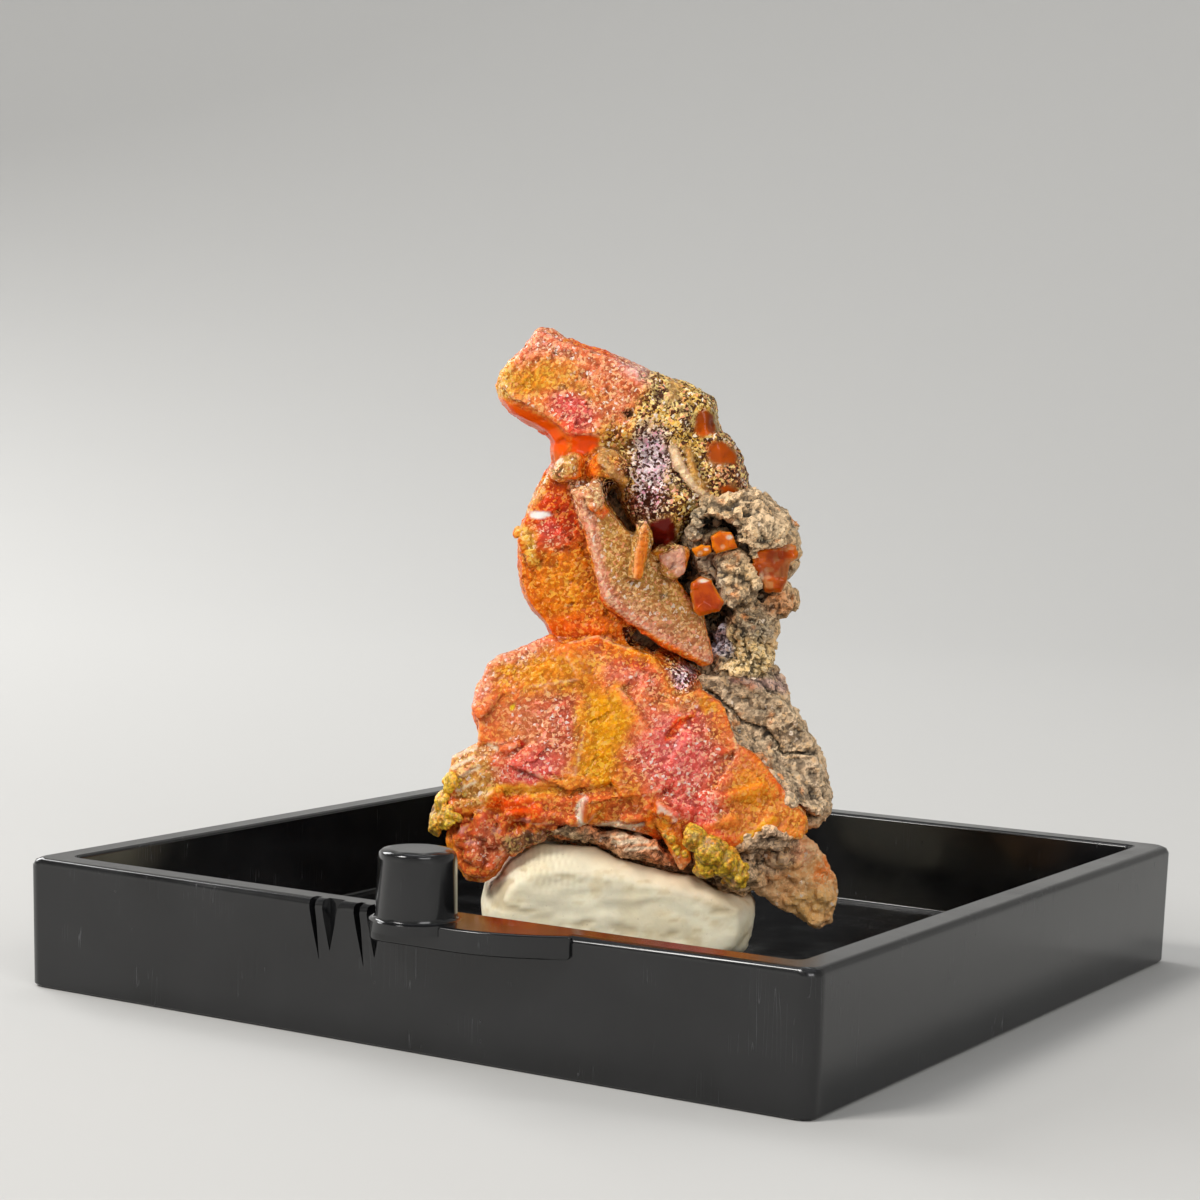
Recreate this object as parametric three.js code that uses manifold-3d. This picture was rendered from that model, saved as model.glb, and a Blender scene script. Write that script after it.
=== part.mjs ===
// A wulfenite specimen on its rock, pressed into mineral tack in a square black box base.
// Millimetres, +Z up. The origin is the middle of the base's underside, and the latch is on -Y.
import * as THREE from "three";
import { ConvexGeometry } from "three/addons/geometries/ConvexGeometry.js";
import { mergeVertices } from "three/addons/utils/BufferGeometryUtils.js";
import Module from "manifold-3d";

const wasm = await Module();
wasm.setup();

// ---------------------------------------------------------------- driving dimensions

const GAP = 0.3;                  // clearance between pieces that touch
const SLIVER = 0.15;              // what cuts leave thinner than this is dropped, on natural pieces
const SHARP_SLIVER = 0.002;       // and on moulded ones
const SEAT_SLACK = 0.25;          // how much coarser a seat may be than what sits in it

const TRAY_WIDTH = 57;            // across the rim, a 2 1/4 inch box base
const TRAY_HEIGHT = 8.4;
const TRAY_DRAFT = 0.155;         // how far each wall leans in at the foot
const TRAY_WALL = 2.2;
const TRAY_FLOOR = 1.8;
const TRAY_CORNER = 1.1;          // corner radius, seen from above
const RIM_ROUND = 0.5;            // rounding of the rim's outer edge
const SOFT_EDGE = 0.25;           // the base's other softened edges
const CORNER_STEPS = 3;

const PLATE_THICKNESS = 1.4;      // the plate that carries the latch post
const PLATE_REACH = 2.4;          // how far it stands out of the front wall
const PLATE_LEFT = 0.3;
const PLATE_RIGHT = 12.8;
const PLATE_STRAIGHT = 6.4;       // where its front edge starts to run back to the wall
const PLATE_ROUND = 1.4;
const PLATE_BEVEL = 0.15;
const ROOT = 0.6;                 // how far the plate and the post reach into what carries them
const POST_RADIUS = 2.4;
const POST_HEIGHT = 4.1;          // above the plate
const POST_TAPER = 0.08;
const POST_ROUND = 0.6;
const POST_FILLET = 0.35;
const POST_SIDES = 24;
const POST_X = 3.2;
const POST_Y = -29.8;

const POCKET_DEPTH = 1.1;         // the tapered pockets in the front wall
const POCKET_WIDTH = 2.6;
const POCKET_TIP = 4.8;           // height of the pockets' lower tips
const POCKET_TIP_WIDTH = 0.3;
const POCKET_TIP_DEPTH = 0.2;
const POCKET_RIB = 0.5;
const POCKET_STARTS = [-5.85, -2.55];

const TURN = THREE.MathUtils.degToRad(31.1);    // how far the specimen is turned in its base

const FAN_FACE = 0.9;             // how far a fan crystal stands proud of its widest section
const FAN_ROOT = 3.2;

const PUTTY_BASE = TRAY_FLOOR + GAP;

// ---------------------------------------------------------------- solids

/** A closed solid from a geometry, once the vertices that faces share are merged. */
function solidOf(geometry) {
  geometry.deleteAttribute("normal");
  geometry.deleteAttribute("uv");
  const merged = mergeVertices(geometry, 1e-4);
  return new wasm.Manifold(new wasm.Mesh({
    numProp: 3,
    vertProperties: new Float32Array(merged.attributes.position.array),
    triVerts: new Uint32Array(merged.index.array),
  }));
}

/** The geometry of a solid's largest piece, without the slivers that its cuts leave. */
function geometryOf(solid, sliver) {
  const pieces = solid.simplify(sliver).decompose();
  const whole = pieces.sort((a, b) => b.volume() - a.volume())[0];
  const { vertProperties, triVerts } = whole.getMesh();
  const geometry = new THREE.BufferGeometry();
  geometry.setAttribute("position", new THREE.BufferAttribute(new Float32Array(vertProperties), 3));
  geometry.setIndex(new THREE.BufferAttribute(new Uint32Array(triVerts), 1));
  const flat = geometry.toNonIndexed();
  flat.computeVertexNormals();
  return flat;
}

const joined = (solids) => solids.reduce((sum, solid) => sum.add(solid));

/** A skin through equal rings of points, closed by a point at each end. */
function skin(rings, start, end) {
  const count = rings[0].length;
  const points = [start, ...rings.flat(), end];
  const faces = [];
  const at = (ring, i) => 1 + ring * count + (i % count);
  for (let i = 0; i < count; i++) {
    faces.push(0, at(0, i + 1), at(0, i));
    faces.push(points.length - 1, at(rings.length - 1, i), at(rings.length - 1, i + 1));
    for (let ring = 0; ring + 1 < rings.length; ring++) {
      faces.push(at(ring, i), at(ring, i + 1), at(ring + 1, i + 1));
      faces.push(at(ring, i), at(ring + 1, i + 1), at(ring + 1, i));
    }
  }
  const geometry = new THREE.BufferGeometry().setFromPoints(points);
  geometry.setIndex(faces);
  return geometry;
}

// ---------------------------------------------------------------- natural relief

const fraction = (value) => value - Math.floor(value);
const lattice = (i, j, k, seed) =>
  fraction(Math.sin(i * 127.1 + j * 311.7 + k * 74.7 + seed * 53.3) * 43758.5453);

/** Smooth noise from -1 to 1. */
function noise(x, y, z, seed) {
  const cell = [x, y, z].map(Math.floor);
  const [fx, fy, fz] = [x, y, z].map((v, n) => THREE.MathUtils.smoothstep(v - cell[n], 0, 1));
  let total = 0;
  for (let corner = 0; corner < 8; corner++) {
    const [a, b, c] = [corner & 1, (corner >> 1) & 1, corner >> 2];
    const weight = (a ? fx : 1 - fx) * (b ? fy : 1 - fy) * (c ? fz : 1 - fz);
    total += weight * lattice(cell[0] + a, cell[1] + b, cell[2] + c, seed);
  }
  return total * 2 - 1;
}

// ---------------------------------------------------------------- forms of the specimen

/** An outline in the XZ plane, clockwise from the front, rounded through its points or straight. */
function rimOf(outline, samples) {
  const points = outline.map(([x, z]) => new THREE.Vector3(x, 0, z));
  const turned = THREE.ShapeUtils.area(outline.map(([x, z]) => new THREE.Vector2(x, z))) > 0;
  if (turned) points.reverse();
  if (!samples) return points;
  return new THREE.CatmullRomCurve3(points, true, "centripetal").getSpacedPoints(samples).slice(0, samples);
}

/** [reach, depth] pairs from the front pole to the back one; a larger fullness is flatter. */
function roundProfile(front, back, fullness, steps) {
  return Array.from({ length: 2 * steps - 1 }, (_, i) => {
    const angle = Math.PI * ((i + 1) / (2 * steps) - 0.5);
    const rise = Math.sign(angle) * Math.abs(Math.sin(angle)) ** (2 / fullness);
    return [Math.cos(angle) ** (2 / fullness), rise * (angle < 0 ? front : back)];
  });
}

/** [reach, depth] pairs of a flat crystal with bevelled edges. */
const bevelProfile = (front, back, bevel) =>
  [[1 - bevel, -front], [1, -front * 0.45], [1, back * 0.45], [1 - bevel, back]];

/**
 * A closed form whose widest section follows an outline. Its sections draw in towards a spine, a
 * line between two points, as they leave the middle for the front (-Y) and the back (+Y).
 */
function form(shape, grow) {
  const { outline, spine, profile, middle = 0, lean = [0, 0], samples = 0, relief = 0, seed = 1 } = shape;
  const [from, to] = spine.map(([x, z]) => new THREE.Vector3(x, 0, z));
  const line = new THREE.Line3(from, to);
  const centre = line.getCenter(new THREE.Vector3());
  const place = (x, depth, z) => {
    const y = middle + depth + lean[0] * (x - centre.x) + lean[1] * (z - centre.z);
    const bump = relief * noise(x * 0.7, y * 0.7, z * 0.7, seed);
    return new THREE.Vector3(x + bump * 0.5, y + bump, z - bump * 0.5);
  };
  const rings = profile.map(([reach, depth]) => rimOf(outline, samples).map((point) => {
    const root = line.closestPointToPoint(point, true, new THREE.Vector3());
    const spoke = point.clone().sub(root);
    spoke.setLength(spoke.length() * reach + grow);
    return place(root.x + spoke.x, depth + Math.sign(depth) * grow, root.z + spoke.z);
  }));
  const [front, back] = [profile[0][1] - grow, profile.at(-1)[1] + grow];
  return solidOf(skin(rings, place(centre.x, front, centre.z), place(centre.x, back, centre.z)));
}

/** A rough or smooth rounded lump about [x, y, z] with three half-sizes, turned in the XZ plane. */
function lump([x, y, z], [rx, ry, rz], { turn = 0, rough = 0, seed = 1, detail = 2 }, grow) {
  const geometry = new THREE.IcosahedronGeometry(1, detail);
  const points = geometry.attributes.position;
  const point = new THREE.Vector3();
  for (let i = 0; i < points.count; i++) {
    point.fromBufferAttribute(points, i);
    const swell = 1 + rough * noise(point.x * 2.2 + seed, point.y * 2.2, point.z * 2.2, seed);
    point.multiplyScalar(swell);
    points.setXYZ(i, point.x, point.y, point.z);
  }
  geometry.scale(rx + grow, ry + grow, rz + grow);
  geometry.rotateY(-THREE.MathUtils.degToRad(turn));
  geometry.translate(x, y, z);
  return solidOf(geometry);
}

/** A tabular crystal: a square plate with cut corners and bevelled edges, about its own centre. */
function tablet([x, y, z], [width, height, thickness], [tilt, spin, swing], grow, cut = 0.28) {
  const points = [];
  const [w, h, t] = [width / 2 + grow, height / 2 + grow, thickness / 2 + grow];
  const bevel = 0.3 * t;
  for (const [reach, depth] of [[bevel, t], [0, t * 0.45], [0, -t * 0.45], [bevel, -t]]) {
    for (const [sx, sz] of [[1, 1], [-1, 1], [-1, -1], [1, -1]]) {
      points.push(new THREE.Vector3(sx * (w - reach), depth, sz * (h - reach) * (1 - cut)));
      points.push(new THREE.Vector3(sx * (w - reach) * (1 - cut), depth, sz * (h - reach)));
    }
  }
  const geometry = new ConvexGeometry(points);
  geometry.rotateX(THREE.MathUtils.degToRad(tilt));
  geometry.rotateY(THREE.MathUtils.degToRad(spin));
  geometry.rotateZ(THREE.MathUtils.degToRad(swing));
  geometry.translate(x, y, z);
  return solidOf(geometry);
}

// ---------------------------------------------------------------- wulfenite

const TOP_BLADE = {
  outline: [
    [-7.1, 43.7], [-6.1, 43.6], [-4.4, 42.7], [-2.8, 42.4], [-0.3, 41.3], [1.9, 40.5], [3.6, 39.2],
    [3.9, 37.2], [1.6, 35.6], [-2.0, 35.2], [-5.3, 34.6], [-6.1, 36.2], [-7.5, 37.1], [-8.9, 37.8],
    [-9.7, 38.9], [-9.8, 40.2], [-9.2, 41.3], [-8.2, 42.2],
  ],
  spine: [[-7.2, 40.1], [1.4, 38.1]],
  profile: roundProfile(2.5, 2.4, 2.5, 3),
  middle: -0.8,
  samples: 36,
};

const SPARKLING_CRYSTAL = {
  outline: [
    [-2.9, 37.4], [-0.3, 40.2], [1.9, 40.7], [3.8, 39.8], [4.9, 39.0], [5.2, 37.2], [6.4, 36.1],
    [7.1, 34.6], [7.1, 32.8], [4.6, 31.8], [3.0, 30.6], [2.5, 29.3], [1.3, 29.0], [0.1, 30.0],
    [-1.2, 31.9], [-2.6, 34.6],
  ],
  spine: [[1.2, 32.4], [2.8, 36.9]],
  profile: roundProfile(3.1, 3.2, 2.7, 3),
  middle: 0.2,
  samples: 32,
  relief: 0.25,
  seed: 5,
};

const NECK = {
  outline: [[-6.0, 36.4], [-2.6, 36.9], [-1.8, 34.2], [-2.4, 31.6], [-5.2, 32.4], [-5.9, 34.4]],
  spine: [[-4.0, 35.2], [-3.6, 33.6]],
  profile: roundProfile(2.0, 1.8, 2.4, 3),
  middle: -0.9,
  samples: 20,
};

const ROUND_TABLET = {
  outline: [
    [-5.8, 34.9], [-4.5, 35.3], [-3.2, 34.2], [-1.2, 31.0], [0.6, 28.3], [0.9, 25.6], [-0.4, 22.9],
    [-2.6, 21.6], [-5.3, 22.2], [-6.2, 23.7], [-7.2, 24.7], [-7.9, 26.1], [-8.2, 28.1], [-8.1, 30.0],
    [-7.5, 31.7], [-6.8, 33.4],
  ],
  spine: [[-4.6, 31.2], [-3.4, 26.4]],
  profile: roundProfile(2.0, 2.6, 3.4, 3),
  middle: -1.0,
  samples: 32,
};

const TAN_TABLET = {
  outline: [
    [-4.6, 33.0], [-3.4, 33.2], [-2.4, 32.1], [-0.6, 30.4], [2.0, 27.6], [4.3, 24.9], [4.9, 23.0],
    [5.2, 21.6], [4.5, 21.4], [1.7, 22.7], [-1.0, 24.5], [-2.4, 25.6], [-2.7, 26.8], [-3.5, 29.8],
  ],
  spine: [[-3.3, 31.9], [3.6, 23.2]],
  profile: bevelProfile(0.7, 1.6, 0.16),
  middle: -3.3,
  lean: [0.22, 0.0],
};

const UPRIGHT_BLADE = {
  outline: [[-0.1, 31.0], [0.5, 31.1], [0.8, 29.8], [0.4, 28.2], [-0.1, 27.1], [-0.7, 27.4], [-0.5, 29.4]],
  spine: [[0.1, 30.2], [-0.2, 28.2]],
  profile: bevelProfile(0.5, 1.6, 0.5),
  middle: -4.5,
};

const FAN = {
  outline: [
    [-5.4, 23.1], [-3.1, 23.7], [-0.5, 23.2], [1.9, 22.3], [4.0, 21.3], [4.8, 19.4], [6.1, 17.4],
    [8.6, 15.4], [10.6, 13.2], [12.0, 10.9], [10.6, 9.6], [7.6, 9.3], [4.6, 9.5], [2.0, 10.0],
    [-1.4, 10.7], [-4.7, 10.8], [-7.6, 10.4], [-9.4, 11.2], [-9.9, 13.2], [-10.3, 15.7], [-10.9, 18.3],
    [-10.1, 20.7], [-8.5, 21.9],
  ],
  spine: [[-5.6, 17.0], [5.8, 13.0]],
  profile: roundProfile(3.4, 4.2, 2.4, 3),
  middle: -2.6,
  lean: [0, 0.16],
  samples: 36,
  relief: 0.3,
  seed: 9,
};

// Flat-faced crystals that lie over each other across the fan: outline, depth of the face, lean.
const FAN_CRYSTALS = [
  [[[-10.0, 20.3], [-7.6, 21.6], [-4.6, 22.0], [-3.4, 19.4], [-5.6, 16.2], [-9.5, 15.8], [-10.4, 18.2]],
    -5.0, [-0.2, 0.16]],
  [[[-5.2, 22.4], [-2.8, 23.0], [0.4, 22.4], [1.6, 20.2], [-0.6, 17.0], [-4.0, 17.4]], -5.2, [0.05, 0.3]],
  [[[0.6, 22.2], [3.6, 21.0], [4.5, 19.0], [4.4, 16.6], [1.4, 15.8], [-0.8, 18.4]], -5.2, [0.28, 0.2]],
  [[[-3.9, 18.2], [0.6, 18.8], [2.6, 15.4], [1.6, 11.4], [-2.0, 10.8], [-4.2, 14.0]], -6.4, [-0.04, 0.06]],
  [[[-9.6, 15.6], [-5.4, 17.2], [-3.0, 14.6], [-4.4, 11.2], [-8.4, 10.8], [-9.8, 13.2]], -5.8, [-0.2, -0.04]],
  [[[3.2, 17.6], [4.8, 17.9], [8.0, 15.0], [7.4, 12.0], [3.0, 12.2], [1.6, 15.0]], -6.1, [0.26, 0.1]],
  [[[4.4, 13.4], [8.6, 14.4], [11.3, 12.2], [11.5, 10.6], [8.0, 9.3], [4.4, 10.4]], -6.0, [0.3, -0.1]],
  [[[-3.8, 13.0], [1.6, 13.4], [4.8, 12.4], [4.2, 10.0], [-0.8, 10.8], [-4.4, 11.2]], -6.6, [0.0, -0.25]],
  [[[-9.0, 12.4], [-4.4, 13.0], [-3.8, 11.2], [-6.6, 10.6], [-9.0, 10.8]], -5.9, [-0.1, -0.3]],
];

/** One crystal of the fan: its face stands proud and its root reaches into the others. */
function fanCrystal([outline, depth, lean], grow) {
  const middle = outline.reduce(([x, z], [px, pz]) =>
    [x + px / outline.length, z + pz / outline.length], [0, 0]);
  const profile = bevelProfile(FAN_FACE, FAN_ROOT, 0.2);
  return form({ outline, spine: [middle, middle], profile, middle: depth + FAN_FACE, lean }, grow);
}

const LEFT_WING = {
  outline: [
    [-7.6, 15.2], [-10.3, 15.6], [-11.8, 14.6], [-11.9, 12.6], [-12.1, 10.9], [-11.6, 9.7],
    [-10.2, 9.6], [-7.8, 10.8], [-6.4, 13.0],
  ],
  spine: [[-10.4, 12.0], [-8.4, 13.0]],
  profile: roundProfile(1.9, 1.8, 2.4, 3),
  middle: -3.4,
  samples: 24,
};

const LOW_LEFT_CRYSTAL = {
  outline: [
    [-12.3, 9.4], [-11.7, 7.9], [-10.8, 6.9], [-9.8, 6.7], [-9.0, 7.2], [-8.2, 8.5], [-6.9, 9.6],
    [-4.8, 10.4], [-7.4, 12.0], [-10.2, 11.6], [-12.0, 10.8],
  ],
  spine: [[-10.2, 9.0], [-7.4, 9.8]],
  profile: bevelProfile(2.2, 2.0, 0.4),
  middle: -3.4,
};

const CURVED_EDGE = {
  outline: [[1.3, 12.5], [2.1, 13.1], [2.8, 11.9], [3.9, 9.0], [3.3, 8.3], [2.3, 10.1], [1.5, 11.5]],
  spine: [[2.1, 12.0], [3.2, 9.4]],
  profile: bevelProfile(0.5, 2.4, 0.5),
  middle: -6.6,
};

// Crumbs of tan crust that bridge the crystals at the neck: [centre, half-sizes, turn, roughness].
const NECK_CRUMBS = [
  [[-4.9, -2.4, 34.3], [1.1, 1.4, 0.9], 24, 0.2],
  [[-3.1, -3.6, 32.3], [0.8, 1.2, 1.5], -10, 0.2],
  [[-2.4, -2.6, 34.4], [1.2, 1.4, 1.3], -40, 0.24],
];

/** All the large crystals grown into each other, in one solid. */
function cluster(grow = 0) {
  const forms = [
    TOP_BLADE, SPARKLING_CRYSTAL, NECK, ROUND_TABLET, TAN_TABLET, UPRIGHT_BLADE, FAN, LEFT_WING,
    LOW_LEFT_CRYSTAL, CURVED_EDGE,
  ].map((shape) => form(shape, grow));
  const fan = FAN_CRYSTALS.map((crystal) => fanCrystal(crystal, grow));
  const block = tablet([2.1, -2.5, 28.4], [1.9, 2.0, 2.4], [14, 20, -30], grow, 0.3);
  const crumbs = NECK_CRUMBS.map(([centre, sizes, turn, rough]) =>
    lump(centre, sizes, { turn, rough, detail: 1 }, grow));
  return joined([...forms, ...fan, ...crumbs, block]);
}

// ---------------------------------------------------------------- rock

const SLAB = {
  outline: [
    [3.6, 20.4], [4.6, 21.3], [6.0, 21.8], [7.4, 22.3], [8.8, 21.6], [9.9, 20.6], [10.5, 19.4],
    [10.7, 18.3], [11.6, 17.3], [12.5, 16.0], [13.1, 14.6], [13.5, 12.6], [13.3, 11.0], [11.0, 10.0],
    [6.0, 10.2], [2.6, 13.0], [2.4, 17.2],
  ],
  spine: [[6.0, 18.8], [10.6, 13.6]],
  profile: roundProfile(3.0, 4.2, 2.8, 3),
  middle: 0.8,
  samples: 28,
  relief: 0.4,
  seed: 3,
};

const TAIL = {
  outline: [
    [7.2, 10.2], [9.5, 10.9], [11.4, 10.1], [12.5, 9.2], [13.3, 8.0], [13.9, 6.8], [13.9, 5.2],
    [13.6, 3.7], [12.4, 3.8], [11.4, 4.5], [9.6, 5.5], [7.9, 6.5], [6.4, 8.0],
  ],
  spine: [[8.8, 8.4], [12.3, 5.6]],
  profile: roundProfile(2.7, 2.5, 2.5, 3),
  middle: -0.4,
  samples: 22,
  relief: 0.45,
  seed: 7,
};

// Lumps of the rock that show in front: [centre, half-sizes, turn, roughness].
const FRONT_ROCKS = [
  [[6.9, 0.0, 31.0], [3.6, 3.2, 2.1], -14, 0.2],        // the ledge
  [[4.3, -0.6, 31.2], [1.9, 2.8, 2.2], 10, 0.24],
  [[6.3, -0.4, 27.2], [2.3, 2.4, 1.9], -40, 0.28],
  [[7.4, 0.2, 23.8], [1.7, 2.2, 2.2], -60, 0.24],
  [[7.0, 0.4, 21.2], [2.5, 3.0, 1.9], 30, 0.24],
  [[9.0, -2.4, 9.4], [2.2, 2.4, 1.8], -20, 0.26],
];

// Plainer lumps, behind and between them.
const PLAIN_ROCKS = [
  [[9.5, 0.4, 25.6], [1.4, 1.3, 0.9], 12, 0.2],
  [[9.3, 1.0, 29.4], [1.5, 2.1, 2.3], 0, 0.2],
  [[5.0, 2.8, 25.6], [4.2, 3.2, 5.0], 10, 0.2],         // the back
  [[1.0, 2.6, 27.2], [3.6, 2.6, 5.4], 0, 0.2],
  [[3.8, 3.2, 31.2], [4.6, 3.2, 4.6], 20, 0.2],
  [[1.6, 2.6, 35.2], [4.0, 2.6, 3.0], 20, 0.2],
  [[5.2, 3.2, 19.4], [4.8, 4.2, 4.8], -20, 0.2],
  [[5.0, 2.4, 13.4], [6.8, 5.0, 5.0], -20, 0.2],
  [[-3.4, 1.6, 14.2], [5.4, 3.8, 4.6], 10, 0.2],
  [[-1.4, 1.4, 32.6], [2.3, 1.7, 3.0], 0, 0.14],
  [[4.5, -1.9, 34.4], [0.6, 1.6, 2.1], -26, 0.2],       // a thin upright ridge
  [[-3.8, -2.2, 11.0], [4.7, 4.4, 1.6], -6, 0.2],       // the foot
  [[1.6, -2.4, 9.6], [4.9, 4.6, 1.7], -14, 0.2],
  [[6.4, -2.4, 8.5], [3.5, 4.0, 1.7], -20, 0.24],
];

function rock(grow = 0) {
  const lumps = (list, detail, first) => list.map(([centre, sizes, turn, rough], n) =>
    lump(centre, sizes, { turn, rough, seed: n + first, detail }, grow));
  return joined([
    form(SLAB, grow), form(TAIL, grow), ...lumps(FRONT_ROCKS, 2, 2), ...lumps(PLAIN_ROCKS, 1, 12),
  ]);
}

// Pits and hollows in the rock: [centre, half-sizes, turn].
const PITS = [
  [[4.4, -3.6, 28.1], [1.5, 2.6, 1.1], -20],
  [[5.0, -3.2, 31.6], [0.7, 1.2, 0.5], 0],
  [[6.1, -3.8, 28.3], [0.6, 1.3, 0.5], 30],
  [[7.8, -3.0, 26.2], [0.6, 1.1, 0.9], 50],
  [[5.9, -2.6, 24.6], [1.4, 2.0, 0.9], -40],
  [[11.6, -1.6, 7.6], [0.8, 1.6, 0.6], -30],
  [[9.0, -2.6, 16.6], [2.2, 0.9, 0.35], -36],
];

// ---------------------------------------------------------------- crystals seated in the rock

// [name, centre, width, height and thickness, tilt, spin and swing]
const SEATED = [
  ["red_crystal", [8.9, -1.5, 27.8], [2.5, 3.0, 2.6], [10, 24, 20]],
  ["orange_crystal_low", [4.5, -3.0, 26.0], [2.1, 2.2, 2.0], [6, -16, 24]],
  ["orange_crystal_mid", [5.6, -2.8, 29.8], [1.8, 1.5, 1.9], [-10, 30, 12]],
  ["orange_crystal_small", [4.1, -2.9, 29.1], [1.3, 0.9, 1.4], [0, 8, -14]],
  ["back_crystal_1", [5.6, 5.9, 29.6], [3.2, 2.6, 1.5], [20, 30, 12]],
  ["back_crystal_2", [6.4, 6.3, 21.4], [2.6, 3.0, 1.3], [-16, 40, -20]],
  ["back_crystal_3", [2.0, 6.2, 21.2], [3.4, 3.0, 1.4], [12, 14, 34]],
  ["back_crystal_4", [-1.6, 4.8, 16.8], [3.6, 2.8, 1.6], [-12, 62, 16]],
];

// ---------------------------------------------------------------- mimetite crusts

// Knobs of each crust: [x, y, z, radius].
const LEFT_KNOBS = [
  [-12.5, -3.7, 10.5, 1.1], [-12.2, -4.2, 11.9, 1.0], [-11.6, -4.7, 13.2, 0.9],
  [-12.3, -2.6, 11.2, 1.1], [-11.9, -4.9, 11.0, 1.0],
];
const LOW_KNOBS = [
  [4.1, -7.2, 10.5, 1.0], [5.1, -7.3, 9.7, 1.1], [6.1, -7.1, 8.9, 1.0], [6.9, -6.8, 8.1, 0.9],
  [4.9, -7.0, 8.7, 0.9],
];

function knobs(list, grow = 0) {
  return joined(list.map(([x, y, z, r], n) =>
    lump([x, y, z], [r, r, r], { rough: 0.1, seed: n, detail: 1 }, grow)));
}

// ---------------------------------------------------------------- putty

const PUTTY_PAD = {
  outline: [
    [-9.2, 2.1], [-9.9, 3.6], [-9.9, 5.6], [-9.2, 7.4], [-7.6, 9.2], [-4.9, 10.4], [-1.8, 10.2],
    [2.0, 9.2], [5.0, 8.2], [7.4, 7.2], [8.5, 5.9], [8.5, 4.0], [7.8, 2.1],
  ],
  spine: [[-6.4, 5.0], [5.6, 4.4]],
  profile: roundProfile(6.6, 6.4, 2.3, 3),
  middle: -0.6,
  samples: 32,
};

/** The pad, cut flat where it is pressed on the floor. */
function putty() {
  const below = new THREE.BoxGeometry(TRAY_WIDTH, TRAY_WIDTH, TRAY_HEIGHT);
  below.translate(0, 0, PUTTY_BASE - TRAY_HEIGHT / 2);
  return form(PUTTY_PAD, 0).subtract(solidOf(below));
}

// ---------------------------------------------------------------- tray

/** A rounded square of points at a height, anticlockwise from above. */
function squareRing(halfWidth, radius, z) {
  const ring = [];
  for (const [sx, sy, start] of [[1, 1, 0], [-1, 1, 1], [-1, -1, 2], [1, -1, 3]]) {
    for (let step = 0; step <= CORNER_STEPS; step++) {
      const angle = (Math.PI / 2) * (start + step / CORNER_STEPS);
      const inner = halfWidth - radius;
      ring.push(new THREE.Vector3(
        sx * inner + radius * Math.cos(angle), sy * inner + radius * Math.sin(angle), z));
    }
  }
  return ring;
}

/** The open box: one skin under the floor, up outside, over the rim and down to the floor inside. */
function trayShell() {
  const half = TRAY_WIDTH / 2;
  const foot = half - TRAY_DRAFT;
  const inside = half - TRAY_WALL;
  const floorEdge = inside - TRAY_DRAFT;
  const inner = TRAY_CORNER * 0.7;
  const rings = [
    squareRing(foot - SOFT_EDGE, TRAY_CORNER - SOFT_EDGE, 0),
    squareRing(foot, TRAY_CORNER, SOFT_EDGE),
    squareRing(half, TRAY_CORNER, TRAY_HEIGHT - RIM_ROUND),
    squareRing(half - RIM_ROUND * 0.3, TRAY_CORNER, TRAY_HEIGHT - RIM_ROUND * 0.3),
    squareRing(half - RIM_ROUND, TRAY_CORNER - SOFT_EDGE, TRAY_HEIGHT),
    squareRing(inside + SOFT_EDGE, inner, TRAY_HEIGHT),
    squareRing(inside, inner, TRAY_HEIGHT - SOFT_EDGE),
    squareRing(floorEdge, inner, TRAY_FLOOR + SOFT_EDGE),
    squareRing(floorEdge - SOFT_EDGE, inner - SOFT_EDGE, TRAY_FLOOR),
  ];
  return solidOf(skin(rings, new THREE.Vector3(0, 0, 0), new THREE.Vector3(0, 0, TRAY_FLOOR)));
}

/** The plate under the post: it leaves the wall at the right and has a round left end. */
function latchPlate() {
  const face = -TRAY_WIDTH / 2;
  const edge = face - PLATE_REACH;
  const shape = new THREE.Shape();
  shape.moveTo(PLATE_RIGHT, face + ROOT);
  shape.lineTo(PLATE_RIGHT, face - PLATE_BEVEL);
  shape.quadraticCurveTo((PLATE_RIGHT + PLATE_STRAIGHT) / 2, edge, PLATE_STRAIGHT, edge);
  shape.lineTo(PLATE_LEFT + PLATE_ROUND, edge);
  shape.quadraticCurveTo(PLATE_LEFT, edge, PLATE_LEFT, edge + PLATE_ROUND);
  shape.lineTo(PLATE_LEFT, face + ROOT);
  const plate = new THREE.ExtrudeGeometry(shape, {
    depth: PLATE_THICKNESS - 2 * PLATE_BEVEL, bevelEnabled: true, bevelSize: PLATE_BEVEL,
    bevelThickness: PLATE_BEVEL, bevelSegments: 1, curveSegments: 8,
  });
  plate.translate(0, 0, TRAY_HEIGHT - PLATE_THICKNESS + PLATE_BEVEL);
  return solidOf(plate);
}

/** The upright post, with a rounded top edge and a small fillet at its foot. */
function latchPost() {
  const top = TRAY_HEIGHT + POST_HEIGHT;
  const foot = POST_RADIUS + POST_FILLET;
  const neck = POST_RADIUS - POST_TAPER;
  const profile = new THREE.Path();
  profile.moveTo(0, TRAY_HEIGHT - ROOT);
  profile.lineTo(foot, TRAY_HEIGHT - ROOT);
  profile.lineTo(foot, TRAY_HEIGHT);
  profile.quadraticCurveTo(POST_RADIUS, TRAY_HEIGHT, POST_RADIUS, TRAY_HEIGHT + POST_FILLET);
  profile.lineTo(neck, top - POST_ROUND);
  profile.quadraticCurveTo(neck, top, neck - POST_ROUND, top);
  profile.lineTo(0, top);
  const post = new THREE.LatheGeometry(profile.getPoints(3), POST_SIDES);
  post.rotateX(Math.PI / 2);
  post.translate(POST_X, POST_Y, 0);
  return solidOf(post);
}

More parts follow.
